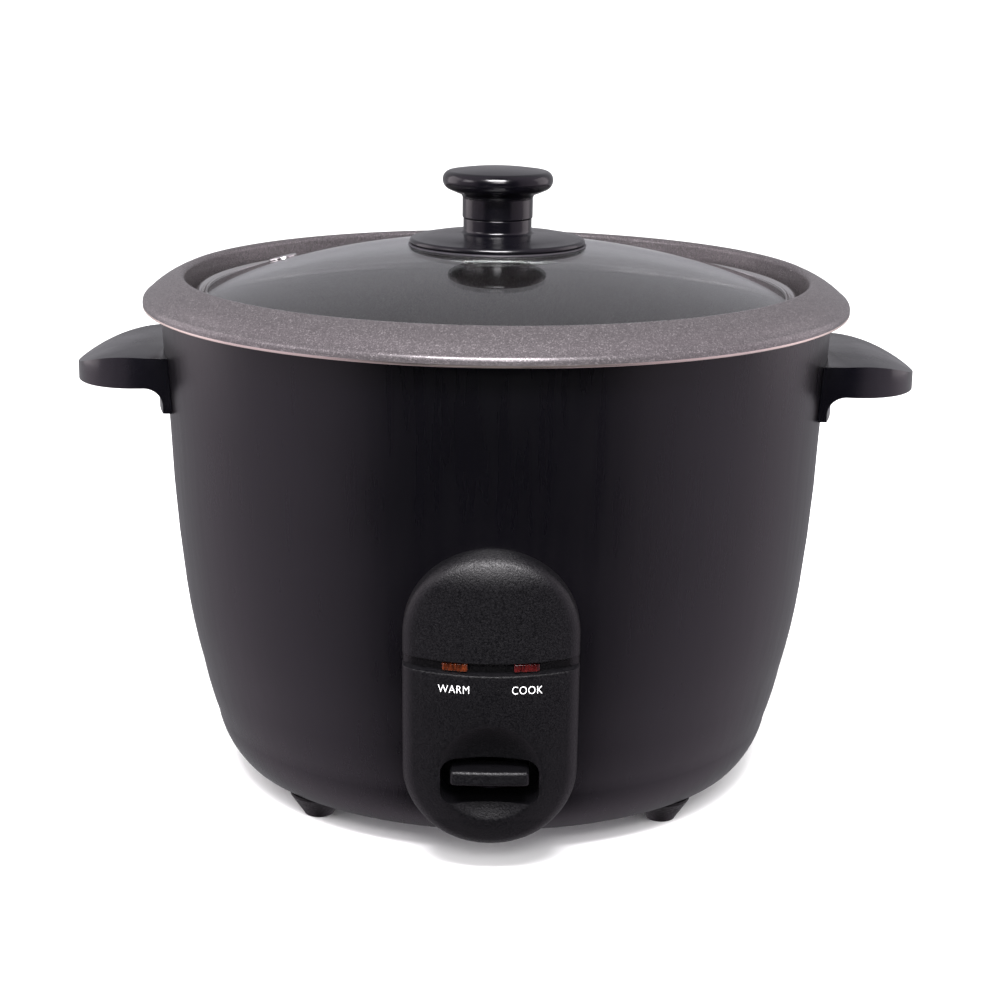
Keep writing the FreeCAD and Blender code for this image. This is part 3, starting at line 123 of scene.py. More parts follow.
def lathe(name, points, segments=SEGMENTS, closed=True):
    """Turn an outline of (r, z) points once round the Z axis. Points on the axis become poles."""
    shape = bmesh.new()
    rings = []
    for r, z in points:
        if r < 1e-6:
            rings.append([shape.verts.new((0, 0, z * MM))])
            continue
        rings.append([shape.verts.new((r * MM * math.cos(2 * math.pi * i / segments),
                                       r * MM * math.sin(2 * math.pi * i / segments), z * MM))
                      for i in range(segments)])
    pairs = list(zip(rings, rings[1:]))
    if closed:
        pairs.append((rings[-1], rings[0]))
    for lower, upper in pairs:
        for i in range(segments):
            j = (i + 1) % segments
            corners = [lower[i % len(lower)], lower[j % len(lower)],
                       upper[j % len(upper)], upper[i % len(upper)]]
            unique = list(dict.fromkeys(corners))
            if len(unique) > 2:
                shape.faces.new(unique)
    bmesh.ops.recalc_face_normals(shape, faces=shape.faces)
    piece = from_bmesh(name, shape)
    smooth(piece)
    return piece


def carve(piece, cutter, operation="DIFFERENCE"):
    """Boolean a cutter with a piece, and drop the cutter."""
    modifier = piece.modifiers.new("carve", "BOOLEAN")
    modifier.operation = operation
    modifier.object = cutter
    modifier.solver = "EXACT"
    bake_modifiers(piece)
    bpy.data.objects.remove(cutter)


def rounded_box(name, low, high, radius, axis=None, segments=4):
    """A box with rounded edges: all of them, or only those along one axis."""
    shape = bmesh.new()
    bmesh.ops.create_cube(shape, size=1)
    for vert in shape.verts:
        vert.co = Vector([(low[i] + high[i]) / 2 + vert.co[i] * (high[i] - low[i]) for i in range(3)]) * MM
    chosen = shape.edges[:]
    if axis:
        way = Vector([float(letter == axis) for letter in "XYZ"])
        chosen = [e for e in shape.edges if abs((e.verts[0].co - e.verts[1].co).normalized().dot(way)) > 0.9]
    bmesh.ops.bevel(shape, geom=chosen, offset=radius * MM, segments=segments, profile=0.5, affect="EDGES")
    return from_bmesh(name, shape)


def prism(name, points, low, high, plane):
    """Extrude an outline: plane XY goes up from low to high, plane XZ goes along Y."""
    shape = bmesh.new()
    ends = []
    for level in (low, high):
        if plane == "XY":
            ends.append([shape.verts.new((x * MM, y * MM, level * MM)) for x, y in points])
        else:
            ends.append([shape.verts.new((x * MM, level * MM, z * MM)) for x, z in points])
    shape.faces.new(ends[0])
    shape.faces.new(ends[1])
    for i in range(len(points)):
        j = (i + 1) % len(points)
        shape.faces.new((ends[0][i], ends[0][j], ends[1][j], ends[1][i]))
    bmesh.ops.recalc_face_normals(shape, faces=shape.faces)
    return from_bmesh(name, shape)


def settle(piece, body, material, slot, *replaced):
    """Give a finished piece its body, its material and the CAD nodes that it stands for."""
    if not piece.data.materials:
        piece.data.materials.append(material)
    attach(piece, body)
    if replaced:
        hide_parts(*replaced)
    return piece


# ---------------------------------------------------------------------------
# Materials
# ---------------------------------------------------------------------------
def color_ramp(tree, stops):
    """Colours along a value: each stop is (position, (r, g, b))."""
    node = tree.nodes.new("ShaderNodeValToRGB")
    elements = node.color_ramp.elements
    while len(elements) < len(stops):
        elements.new(0.5)
    for element, (position, color) in zip(elements, stops):
        element.position = position
        element.color = (*color, 1)
    return node


class Finish:
    """A node material, with short calls for the nodes that the finishes share."""

    def __init__(self, name, color, roughness, **sockets):
        self.material = bpy.data.materials.new(name)
        self.material.use_nodes = True
        self.tree = self.material.node_tree
        self.shader = self.tree.nodes["Principled BSDF"]
        self.shader.inputs["Base Color"].default_value = (*color, 1)
        self.shader.inputs["Roughness"].default_value = roughness
        for socket, value in sockets.items():
            self.shader.inputs[socket.replace("_", " ")].default_value = value
        self.place = self.tree.nodes.new("ShaderNodeTexCoord").outputs["Object"]

    def link(self, source, target):
        self.tree.links.new(source, target)

    def stretched(self, scale):
        """Object coordinates scaled per axis."""
        mapping = self.tree.nodes.new("ShaderNodeMapping")
        mapping.inputs["Scale"].default_value = scale
        self.link(self.place, mapping.inputs["Vector"])
        return mapping.outputs["Vector"]

    def noise(self, scale, detail=3.0, stretch=(1, 1, 1), rough=0.5):
        """A cloudy value, stretched per axis."""
        texture = self.tree.nodes.new("ShaderNodeTexNoise")
        texture.inputs["Scale"].default_value = scale
        texture.inputs["Detail"].default_value = detail
        texture.inputs["Roughness"].default_value = rough
        self.link(self.stretched(stretch), texture.inputs["Vector"])
        return texture.outputs["Fac"]

    def cells(self, scale, output="Distance", stretch=(1, 1, 1)):
        """A cellular value or colour."""
        texture = self.tree.nodes.new("ShaderNodeTexVoronoi")
        texture.inputs["Scale"].default_value = scale
        self.link(self.stretched(stretch), texture.inputs["Vector"])
        return texture.outputs[output]

    def spread(self, source, low, high, from_low=0.3, from_high=0.7):
        """Map a value onto a new range."""
        node = self.tree.nodes.new("ShaderNodeMapRange")
        node.inputs["From Min"].default_value = from_low
        node.inputs["From Max"].default_value = from_high
        node.inputs["To Min"].default_value = low
        node.inputs["To Max"].default_value = high
        self.link(source, node.inputs["Value"])
        return node.outputs["Result"]

    def combine(self, operation, first, second):
        """A math node on two values or sockets."""
        node = self.tree.nodes.new("ShaderNodeMath")
        node.operation = operation
        for socket, value in zip(node.inputs, (first, second)):
            if isinstance(value, (int, float)):
                socket.default_value = value
            else:
                self.link(value, socket)
        return node.outputs["Value"]

    def ramp(self, source, *stops):
        node = color_ramp(self.tree, stops)
        self.link(source, node.inputs["Fac"])
        return node.outputs["Color"]

    def color(self, source):
        self.link(source, self.shader.inputs["Base Color"])

    def roughness(self, source):
        self.link(source, self.shader.inputs["Roughness"])

    def bump(self, source, distance, strength=1.0):
        node = self.tree.nodes.new("ShaderNodeBump")
        node.inputs["Strength"].default_value = strength
        node.inputs["Distance"].default_value = distance
        self.link(source, node.inputs["Height"])
        self.link(node.outputs["Normal"], self.shader.inputs["Normal"])


def shade(tint, share):
    """The tint made darker or lighter."""
    return tuple(value * share for value in tint)


def black_paint():
    """Satin black stove paint on the drum, with faint upright streaks."""
    finish = Finish("black_paint", (0.0018, 0.0015, 0.0024), 0.29, Specular_IOR_Level=0.48)
    streaks = finish.noise(1.0, 4, stretch=(260, 260, 9))
    cloud = finish.noise(14, 2)
    finish.color(finish.ramp(cloud, (0.3, (0.0006, 0.0005, 0.0012)), (0.7, (0.0012, 0.0009, 0.0020))))
    finish.roughness(finish.spread(finish.combine("ADD", streaks, cloud), 0.26, 0.33, 0.75, 1.25))
    finish.bump(finish.combine("ADD", streaks, finish.noise(2400, 1)), 0.00003)
    return finish.material


def nonstick():
    """Charcoal non-stick coating with a fine metallic sparkle."""
    finish = Finish("nonstick", (0.12, 0.11, 0.115), 0.30, Metallic=0.5)
    grain = finish.cells(3000, "Color")
    split = finish.tree.nodes.new("ShaderNodeSeparateColor")
    finish.link(grain, split.inputs["Color"])
    finish.color(finish.ramp(split.outputs["Red"], (0.0, (0.064, 0.057, 0.060)), (0.8, (0.092, 0.083, 0.087)),
                             (0.97, (0.17, 0.155, 0.16))))
    finish.roughness(finish.spread(split.outputs["Green"], 0.26, 0.38, 0.0, 1.0))
    finish.bump(finish.cells(3000), 0.00001, 0.5)
    return finish.material


def bare_aluminium(name, tint=(0.80, 0.72, 0.66), roughness=0.28):
    """Turned aluminium, with fine rings round the axis."""
    finish = Finish(name, tint, roughness, Metallic=1.0)
    lines = finish.noise(1.0, 3, stretch=(30, 30, 3000))
    finish.roughness(finish.spread(lines, roughness - 0.07, roughness + 0.12))
    finish.bump(lines, 0.00002, 0.5)
    return finish.material


def pressed_steel(name, tint=(0.30, 0.30, 0.31), roughness=0.48):
    """Rolled steel sheet, faintly mottled."""
    finish = Finish(name, tint, roughness, Metallic=1.0)
    cloud = finish.noise(60, 5)
    finish.roughness(finish.spread(cloud, roughness - 0.08, roughness + 0.10))
    finish.color(finish.ramp(cloud, (0.3, shade(tint, 0.86)), (0.7, tint)))
    finish.bump(finish.noise(900, 2), 0.00001)
    return finish.material


def stainless():
    """Polished stainless channel."""
    finish = Finish("stainless", (0.72, 0.71, 0.70), 0.16, Metallic=1.0)
    lines = finish.noise(1.0, 3, stretch=(60, 60, 5000))
    finish.roughness(finish.spread(lines, 0.10, 0.24))
    return finish.material


def bakelite():
    """Glossy black moulding with a trace of polishing haze."""
    finish = Finish("bakelite", (0.003, 0.0028, 0.0045), 0.22,
                    Specular_IOR_Level=0.42, Coat_Weight=0.1, Coat_Roughness=0.06)
    haze = finish.noise(45, 4)
    finish.roughness(finish.spread(haze, 0.16, 0.30))
    finish.color(finish.ramp(haze, (0.3, (0.0010, 0.0009, 0.0018)), (0.7, (0.0018, 0.0016, 0.0030))))
    finish.bump(finish.noise(500, 2), 0.00001, 0.5)
    return finish.material


def grained_plastic(name, tint=(0.0015, 0.0014, 0.0021), roughness=0.46, grain=1500, depth=0.00016):
    """Matte moulding with a spark-eroded grain."""
    finish = Finish(name, tint, roughness, Specular_IOR_Level=0.32)
    speck = finish.noise(grain, 2, rough=0.6)
    finish.roughness(finish.spread(speck, roughness - 0.14, roughness + 0.14))
    finish.color(finish.ramp(speck, (0.35, shade(tint, 0.75)), (0.7, shade(tint, 1.5))))
    finish.bump(speck, depth)
    return finish.material


def clear_glass():
    """Tempered soda-lime glass, slightly grey."""
    finish = Finish("lid_glass_clear", (0.86, 0.89, 0.88), 0.0, Transmission_Weight=1.0, IOR=1.5)
    haze = finish.noise(30, 3)
    finish.roughness(finish.spread(haze, 0.0, 0.03))
    return finish.material


def lens_plastic(name, deep, bright):
    """Clear coloured plastic with moulded ribs, its colour painted lighter on the raised ribs as a painted
    glint.
    """
    finish = Finish(name, bright, 0.12, Coat_Weight=0.6, Coat_Roughness=0.05, Subsurface_Weight=0.0)
    ribs = finish.noise(1.0, 1, stretch=(1500, 300, 200))
    # Painted glint: the colour runs from the deep tint in the rib hollows to the bright tint on the raised
    # ribs.
    finish.color(finish.ramp(ribs, (0.35, deep), (0.65, bright)))
    finish.bump(ribs, 0.0002)
    return finish.material


def silicone():
    """Matte dark rubber."""
    finish = Finish("silicone", (0.03, 0.028, 0.033), 0.35, IOR=1.41)
    finish.roughness(finish.spread(finish.noise(300, 2), 0.28, 0.45))
    return finish.material


def label_paint():
    """White pad-printing ink."""
    finish = Finish("label_paint", (0.78, 0.78, 0.78), 0.5)
    finish.color(finish.ramp(finish.noise(900, 2), (0.2, (0.66, 0.66, 0.66)), (0.8, (0.82, 0.82, 0.82))))
    return finish.material


def ceramic_white(name, tint):
    """Unglazed ceramic or clouded glass, faintly speckled."""
    finish = Finish(name, tint, 0.45)
    speck = finish.noise(300, 3)
    finish.color(finish.ramp(speck, (0.3, shade(tint, 0.85)), (0.7, tint)))
    finish.bump(speck, 0.00003)
    return finish.material


PAINT = black_paint()
NONSTICK = nonstick()
RIM_EDGE = bare_aluminium("rim_edge", (0.86, 0.74, 0.67), 0.3)
CAST = bare_aluminium("cast_aluminium", (0.72, 0.72, 0.73), 0.36)
STEEL = pressed_steel("steel_sheet")
SPRING = pressed_steel("spring_steel", (0.5, 0.5, 0.5), 0.25)
STAINLESS = stainless()
BAKELITE = bakelite()
PANEL = grained_plastic("panel_plastic")
FOOT = grained_plastic("foot_plastic", (0.0018, 0.0015, 0.0018), 0.45, 900)
GLASS = clear_glass()
AMBER = lens_plastic("amber_lens", (0.018, 0.0035, 0.001), (0.070, 0.013, 0.003))
RED = lens_plastic("red_lens", (0.012, 0.0012, 0.0012), (0.045, 0.0035, 0.0035))
SILICONE = silicone()
LABEL = label_paint()
INSULATOR = ceramic_white("insulator", (0.70, 0.66, 0.58))
FERRITE = pressed_steel("ferrite", (0.10, 0.10, 0.105), 0.5)
BRASS = pressed_steel("brass", (0.78, 0.58, 0.28), 0.25)
LAMP = ceramic_white("lamp_glass", (0.80, 0.72, 0.62))
SLOT_MATERIALS = {
    "black_paint": PAINT, "steel_sheet": STEEL, "stainless": STAINLESS, "nonstick": NONSTICK,
    "cast_aluminium": CAST, "glass": GLASS, "bakelite": BAKELITE, "panel_plastic": PANEL,
    "foot_plastic": FOOT, "amber_lens": AMBER, "red_lens": RED, "lamp_glass": LAMP,
    "insulator": INSULATOR, "silicone": SILICONE, "ferrite": FERRITE, "spring_steel": SPRING, "brass": BRASS,
}


def finish_cad_nodes():
    """Give every CAD node the material of its slot."""
    slots = {row["node"]: row["material_slot"] for row in frame["record"]["subparts"]}
    for name, node in NODES.items():
        for material_slot in node.material_slots:
            material_slot.link = "OBJECT"
            material_slot.material = SLOT_MATERIALS[slots[name]]


# ---------------------------------------------------------------------------
# Drum
# ---------------------------------------------------------------------------
DRUM_WALL = [(108.9, 11.0), (116.8, 28.0), (122.5, 50.0), (128.8, 84.0), (133.5, 148.0), (136.3, 196.0)]
DRUM_BULGE = [34.0, 160.0, 260.0, 700.0]
DRUM_TOP = 199.0
DRUM_MOUTH_R = 129.3
DRUM_ROLL = 3.0
DRUM_FLANGE_R = 98.0
SHEET = 0.8
KEY_WINDOW = ((-24, -150, 24), (24, -100, 118))
INLET_WINDOW = ((-12.6, 90, 22), (12.6, 140, 40))


def drum_wall(inset=0.0, upward=True):
    """Points up or down the drum's wall, moved in by the sheet's thickness when asked."""
    corners = [(r - inset, z) for r, z in DRUM_WALL]
    if inset:
        corners[0] = (corners[0][0], corners[0][1] + inset)
    moves = [(*corner, bulge, "left") for corner, bulge in zip(corners[1:], DRUM_BULGE)] + [corners[-1]]
    points = profile(corners[0], *moves, step=math.radians(2))
    return points if upward else points[::-1]


def drum_radius(z):
    """The drum's outside radius at a height."""
    points = drum_wall()
    for (low_r, low_z), (high_r, high_z) in zip(points, points[1:]):
        if low_z <= z <= high_z:
            return low_r + (high_r - low_r) * (z - low_z) / (high_z - low_z)
    return points[0][0] if z < points[0][1] else points[-1][0]


def build_drum():
    """The painted sheet drum: a bulged wall, a rolled mouth and a turned-in foot."""
    shoulder_r, shoulder_z = DRUM_WALL[-1]
    crest_r = shoulder_r - DRUM_ROLL
    inside_r = DRUM_MOUTH_R + SHEET
    over = profile(
        (shoulder_r, shoulder_z), (crest_r, DRUM_TOP, DRUM_ROLL, "left"), (DRUM_MOUTH_R + 1.5, DRUM_TOP),
        (DRUM_MOUTH_R, DRUM_TOP - 1.5, 1.5, "left"), (DRUM_MOUTH_R, 195.0), (inside_r, 195.0),
        (inside_r, DRUM_TOP - 2.2), (inside_r + 1, DRUM_TOP - SHEET, 1.0, "right"),
        (crest_r, DRUM_TOP - SHEET), (shoulder_r - SHEET, shoulder_z, DRUM_ROLL - SHEET, "right"))
    foot_z = DRUM_WALL[0][1]
    foot = [(DRUM_FLANGE_R, foot_z + 1.2), (DRUM_FLANGE_R - 0.6, foot_z + 0.6), (DRUM_FLANGE_R, foot_z)]
    drum = lathe("body_shell_visual", drum_wall() + over[1:] + drum_wall(SHEET, upward=False)[1:] + foot)
    carve(drum, rounded_box("window_cutter", *KEY_WINDOW, 0.2))
    carve(drum, rounded_box("inlet_cutter", *INLET_WINDOW, 0.2))
    smooth(drum)
    return settle(drum, "cooker", PAINT, "black_paint", "body_shell")


# ---------------------------------------------------------------------------
# Pot
# ---------------------------------------------------------------------------
POT_BOTTOM = 56.0
POT_WALL = 1.6
POT_SEAT_Z = 194.5
POT_BARE_TOP = 192
RIM_BEND_R = 141.7
RIM_EDGE_LOW = 197.4
RIM_EDGE_HIGH = 198.4
RIM_EDGE_R = 143.3


def build_pot():
    """The pot with its turned-down rim: coated inside, bare outside, with a bright cut edge."""
    inner_bottom = POT_BOTTOM + POT_WALL
    outside = profile(
        (0, POT_BOTTOM), (93.5, POT_BOTTOM), (117.5, POT_BOTTOM + 24, 24, "left"), (119.9, 193.0),
        (121.4, POT_SEAT_Z, 1.5, "right"), (125.2, POT_SEAT_Z), (128.0, POT_SEAT_Z + 2.8, 2.8, "left"),
        (128.0, 206.8), (140.3, 199.4), (RIM_BEND_R, 198.8), (RIM_BEND_R, 197.7))
    lip = [(141.9, RIM_EDGE_LOW), (143.0, RIM_EDGE_LOW), (RIM_EDGE_R, 197.7), (RIM_EDGE_R, RIM_EDGE_HIGH)]
    rim = profile(
        (RIM_EDGE_R, RIM_EDGE_HIGH), (RIM_EDGE_R, 199.3), (141.9, 201.6, 2.6, "left"),
        (129.7, 209.5, 36.0, "left"), (126.4, 207.8, 2.2, "left"), (126.4, 198.5),
        (124.0, POT_SEAT_Z + POT_WALL, 2.4, "right"), (119.9, POT_SEAT_Z + POT_WALL),
        (118.3, POT_SEAT_Z, 1.6, "left"), (115.9, 80.0), (93.5, inner_bottom, 22.4, "right"),
        (0, inner_bottom), step=math.radians(4))
    pot = lathe("inner_pot_visual", outside + lip + rim[1:], closed=False)
    for material in (NONSTICK, RIM_EDGE, CAST):
        pot.data.materials.append(material)
    for face in pot.data.polygons:
        outward = Vector((face.center.x, face.center.y, 0))
        height = face.center.z / MM
        faces_out = height < POT_BARE_TOP and face.normal.dot(outward) > 0
        if height < RIM_EDGE_HIGH and outward.length / MM > RIM_BEND_R - 0.2:
            face.material_index = 1
        elif faces_out or height < POT_BOTTOM + 0.1:
            face.material_index = 2
    return settle(pot, "pot", NONSTICK, "nonstick", "inner_pot")


# ---------------------------------------------------------------------------
# Lid
# ---------------------------------------------------------------------------
DOME_R = 361.0
DOME_APEX = 222.3
GLASS_THICKNESS = 4.0
GLASS_EDGE_R = 120.4
GLASS_HOLE_R = 3.5
FINE_STEP = math.radians(0.5)


def dome_z(radius, offset=0.0):
    """Height of the glass's top face at a radius, or of a face offset outwards from it."""
    return DOME_APEX - DOME_R + math.sqrt((DOME_R + offset) ** 2 - radius * radius)


def build_glass():
    """The domed glass, with a rounded edge and a hole for the knob's screw."""
    hole = GLASS_HOLE_R
    shoulder = GLASS_EDGE_R - 0.8
    low_z = dome_z(shoulder, -GLASS_THICKNESS)
    top = profile((hole, dome_z(hole)), (shoulder, dome_z(shoulder), DOME_R, "right"), step=FINE_STEP)
    rim = profile(top[-1], (GLASS_EDGE_R, top[-1][1] - 1.0, 0.9, "right"), (GLASS_EDGE_R, low_z + 0.8),
                  (shoulder, low_z, 0.8, "right"))
    under = profile(
        (shoulder, low_z), (hole, dome_z(hole, -GLASS_THICKNESS), DOME_R - GLASS_THICKNESS, "left"),
        step=FINE_STEP)
    glass = lathe("lid_glass_visual", top + rim[1:] + under[1:])
    return settle(glass, "lid", GLASS, "glass", "lid_glass")


BAND_R = 122.1
BAND_COVER_R = 117.4
BAND_INSIDE_R = 120.5
BAND_LOW = 196.4
BAND_TOP = 203.4
BAND_GAP = 0.05
BAND_SKIN = 0.7


def build_lid_rim():
    """The rolled metal band: a channel round the glass, with a bead where it ends on the glass."""
    def over_glass(ahead, lift):
        radius = BAND_COVER_R + ahead
        return radius, dome_z(radius, BAND_GAP + lift)

    foot_r = BAND_COVER_R - 1.4
    points = profile(
        (foot_r, BAND_LOW), (BAND_R - 0.8, BAND_LOW), (BAND_R, BAND_LOW + 0.8, 0.8, "left"),
        (BAND_R, BAND_TOP - 1.6), (BAND_R - 1.6, BAND_TOP, 1.6, "left"),
        over_glass(2.2, BAND_SKIN + 0.2), over_glass(1.9, BAND_SKIN - 0.25),
        over_glass(1.5, BAND_SKIN - 0.25), over_glass(1.2, BAND_SKIN), over_glass(0.5, BAND_SKIN),
        (*over_glass(0, 0), 0.8, "left"), (BAND_INSIDE_R, dome_z(BAND_INSIDE_R, BAND_GAP)),
        (BAND_INSIDE_R, BAND_LOW + BAND_SKIN), (foot_r, BAND_LOW + BAND_SKIN))
    rim = lathe("lid_rim_visual", points)
    return settle(rim, "lid", STAINLESS, "stainless", "lid_rim")


KNOB_BASE_R = 35.8
KNOB_BASE_LOW = 221.4
KNOB_NECK_R = 13.9
KNOB_SPLIT = 231.7
KNOB_BORE_R = 2.1
GASKET_BORE_R = 4.1
GASKET_THICKNESS = 0.65
CAP_NECK_R = 14.3
CAP_LOW = 241.6
CAP_TOP = 252.2
CAP_R = 22.4
CAP_CROWN = 1.6


def build_knob():
    """The knob: a flared base on a thin gasket, and a mushroom cap."""
    base_r = KNOB_BASE_R
    low = KNOB_BASE_LOW
    neck = KNOB_NECK_R
    bore = KNOB_BORE_R
    split = KNOB_SPLIT
    base = lathe("knob_base_visual", profile(
        (bore, dome_z(bore, 0.7)), (bore, split), (neck - 0.6, split), (neck, split - 0.6, 0.6, "right"),
        (neck, 227.3), (neck + 1.6, 225.7, 1.6, "left"), (base_r - 1.6, low + 2.1, 90.0, "right"),
        (base_r, low + 0.6, 1.5, "right"), (base_r - 0.6, dome_z(base_r - 0.6, 0.7)),
        (bore, dome_z(bore, 0.7), DOME_R + 0.7, "left"), step=math.radians(4)))
    settle(base, "lid", BAKELITE, "bakelite", "knob_base")
    hole = GASKET_BORE_R
    thick = GASKET_THICKNESS
    gasket = lathe("knob_gasket_visual", profile(
        (hole, dome_z(hole)), (hole, dome_z(hole, thick)),
        (base_r, dome_z(base_r, thick), DOME_R + thick, "right"),
        (base_r + 0.5, dome_z(base_r + 0.5, 0.3), 0.5, "right"), (base_r + 0.3, dome_z(base_r + 0.3)),
        (hole, dome_z(hole), DOME_R, "left"), step=math.radians(1)))
    settle(gasket, "lid", SILICONE, "silicone", "knob_gasket")
    crown_r = CAP_R - 2.8
    crown_sphere = (crown_r ** 2 + CAP_CROWN ** 2) / (2 * CAP_CROWN)
    cap = lathe("knob_cap_visual", profile(
        (bore, split), (CAP_NECK_R - 0.5, split), (CAP_NECK_R, split + 0.5, 0.5, "left"),
        (CAP_NECK_R, CAP_LOW - 2.4), (CAP_NECK_R + 2.4, CAP_LOW + 0.2, 2.4, "right"),
        (CAP_R - 2.4, CAP_LOW + 1.6), (CAP_R, CAP_LOW + 5.4, 4.2, "left"),
        (crown_r, CAP_TOP - CAP_CROWN, 3.6, "left"), (0, CAP_TOP, crown_sphere, "left"), (0, CAP_LOW),
        (bore, CAP_LOW), step=math.radians(4)))
    return settle(cap, "lid", BAKELITE, "bakelite", "knob_cap")


# ---------------------------------------------------------------------------
# Control panel
# ---------------------------------------------------------------------------
PANEL_HALF = 32.2
PANEL_LOW = 12.5
PANEL_TOP = 130.0
PANEL_AXIS_Y = -53.0
PANEL_FACE = profile((73.0, 10.5), (80.0, 25.0, 40.0, "left"), (86.0, 50.0, 90.0, "left"),
                     (90.0, 100.0, 240.0, "left"), (90.0, 116.0), (84.0, PANEL_TOP, 18.0, "left"),
                     (82.0, PANEL_TOP + 2), step=math.radians(1))
GROOVE_LOW = 85.2
GROOVE_TOP = 89.3
GROOVE_SMILE = 1.4
GROOVE_DEPTH = 3.0
SCOOP_R = 36.0
SCOOP_Y = -166.2
SCOOP_Z = 39.3
SLOT_HALF = 18.25
SLOT_LOW = 32.0
SLOT_TOP = 50.0
SLOT_CORNER_R = 5.0
PANEL_EDGE_R = 4.0
EDGE_ROWS = 10
FACE_ROWS = 84
ARC_STEPS = 200
SIDE_STEPS = 140


def blend_step(value, low, high):
    """Smooth step from 0 at low to 1 at high."""
    t = min(max((value - low) / (high - low), 0.0), 1.0)
    return t * t * (3 - 2 * t)


def face_y(x, z):
    """The panel's plain convex face."""
    for (low_r, low_z), (high_r, high_z) in zip(PANEL_FACE, PANEL_FACE[1:]):
        if z <= high_z:
            break
    share = (z - low_z) / (high_z - low_z)
    radius = low_r + (high_r - low_r) * share
    return PANEL_AXIS_Y - math.sqrt(radius * radius - x * x)


def face_depth(x, z):
    """How far the groove and the dish go below the plain face."""
    level = z - GROOVE_SMILE * (x / PANEL_HALF) ** 2
    groove = GROOVE_DEPTH * (blend_step(level, GROOVE_LOW - 0.45, GROOVE_LOW + 0.45)
                             - blend_step(level, GROOVE_TOP - 0.3, GROOVE_TOP + 0.3))
    scoop = SCOOP_Y + math.sqrt(SCOOP_R ** 2 - min(x * x + (z - SCOOP_Z) ** 2, 1000.0)) - face_y(x, z)
    dish = (scoop + math.sqrt(scoop * scoop + 0.25)) / 2 if scoop > -3 else 0.0
    return groove + dish


def stadium_loop(steps_arc, steps_side):
    """Points round the panel's outline, each with the direction that points inwards."""
    low_z = PANEL_LOW + PANEL_HALF
    high_z = PANEL_TOP - PANEL_HALF
    loop = []
    for i in range(steps_arc):
        angle = math.pi * i / steps_arc
        loop.append(((0, high_z), (math.cos(angle), math.sin(angle))))
    for i in range(steps_side):
        loop.append(((0, high_z + (low_z - high_z) * i / steps_side), (-1, 0)))
    for i in range(steps_arc):
        angle = math.pi * (1 + i / steps_arc)
        loop.append(((0, low_z), (math.cos(angle), math.sin(angle))))
    for i in range(steps_side):
        loop.append(((0, low_z + (high_z - low_z) * i / steps_side), (1, 0)))
    return loop


def drum_y(x, z):
    """The panel's back, close to the drum's front."""
    radius = drum_radius(max(z, DRUM_WALL[0][1])) + 0.1
    return -math.sqrt(radius * radius - x * x)


def panel_rows():
    """The panel's grid, from the back over the side to the middle: (inset, depth at x and z)."""
    edge = PANEL_EDGE_R
    rows = [(PANEL_HALF * (1 - share), drum_y) for share in (0.02, 0.2, 0.4, 0.6, 0.8)]

    def side_at(share):
        def depth(x, z):
            back = drum_y(x, z)
            return back + (face_y(x, z) + edge - back) * share
        return depth

    def face_at(drop):
        return lambda x, z: face_y(x, z) + drop + face_depth(x, z)

    rows += [(0, side_at(share)) for share in (0, 0.35, 0.7)]
    insets = [edge * (1 - math.cos(math.pi / 2 * i / EDGE_ROWS)) for i in range(EDGE_ROWS + 1)]
    insets += [edge + (PANEL_HALF - edge) * i / FACE_ROWS for i in range(1, FACE_ROWS + 1)]
    for inset in insets:
        drop = edge - math.sqrt(max(edge * edge - (edge - min(inset, edge)) ** 2, 0))
        rows.append((inset, face_at(drop)))
    return rows


def build_panel():
    """The moulded panel as a grid of nested outlines, with the key's slot cut out of it."""
    loop = stadium_loop(ARC_STEPS, SIDE_STEPS)
    count = len(loop)
    shape = bmesh.new()

    def ring(inset, depth_at):
        row = []
        for (cx, cz), (nx, nz) in loop:
            x = cx + nx * (PANEL_HALF - inset)
            z = cz + nz * (PANEL_HALF - inset)
            z += GROOVE_SMILE * (x / PANEL_HALF) ** 2 * (1 - blend_step(abs(z - GROOVE_TOP), 4.0, 14.0))
            row.append(shape.verts.new((x * MM, depth_at(x, z) * MM, z * MM)))
        return row

    rings = [ring(inset, depth_at) for inset, depth_at in panel_rows()]
    for lower, upper in zip(rings, rings[1:]):
        for i in range(count):
            j = (i + 1) % count
            shape.faces.new((lower[i], lower[j], upper[j], upper[i]))
    bmesh.ops.remove_doubles(shape, verts=shape.verts, dist=0.02 * MM)
    bmesh.ops.holes_fill(shape, edges=[e for e in shape.edges if e.is_boundary], sides=0)
    bmesh.ops.recalc_face_normals(shape, faces=shape.faces)
    panel = from_bmesh("control_panel_visual", shape)
    carve(panel, rounded_box("slot_cutter", (-SLOT_HALF, -150, SLOT_LOW), (SLOT_HALF, -100, SLOT_TOP),
                             SLOT_CORNER_R, axis="Y", segments=8))
    smooth(panel, 40)
    return settle(panel, "cooker", PANEL, "panel_plastic", "control_panel")


def build_lenses():
    """Each lens stands a little proud of the groove, and its front follows the panel's curve."""
    middle_x = 13.0
    lean = 0.17
    for name, material, slot in (("lens_warm", AMBER, "amber_lens"), ("lens_cook", RED, "red_lens")):
        low, high = node_box(name)
        lens = rounded_box(name + "_visual", (low[0], low[1] - 0.6, low[2]),
                           (high[0], high[1] - 0.4, high[2]), 0.6)
        for vert in lens.data.vertices:
            if vert.co.y < (low[1] + 1) * MM:
                vert.co.y += (abs(vert.co.x / MM) - middle_x) * lean * MM
        smooth(lens)
        settle(lens, "cooker", material, slot, name)


LABEL_X = 13.2
LABEL_Z = 78.2
LABEL_SIZE = 4.4
LABEL_NARROWING = 0.82
LABEL_LIFT = 0.03
INK = 0.02
STROKE_TRIM = 0.06


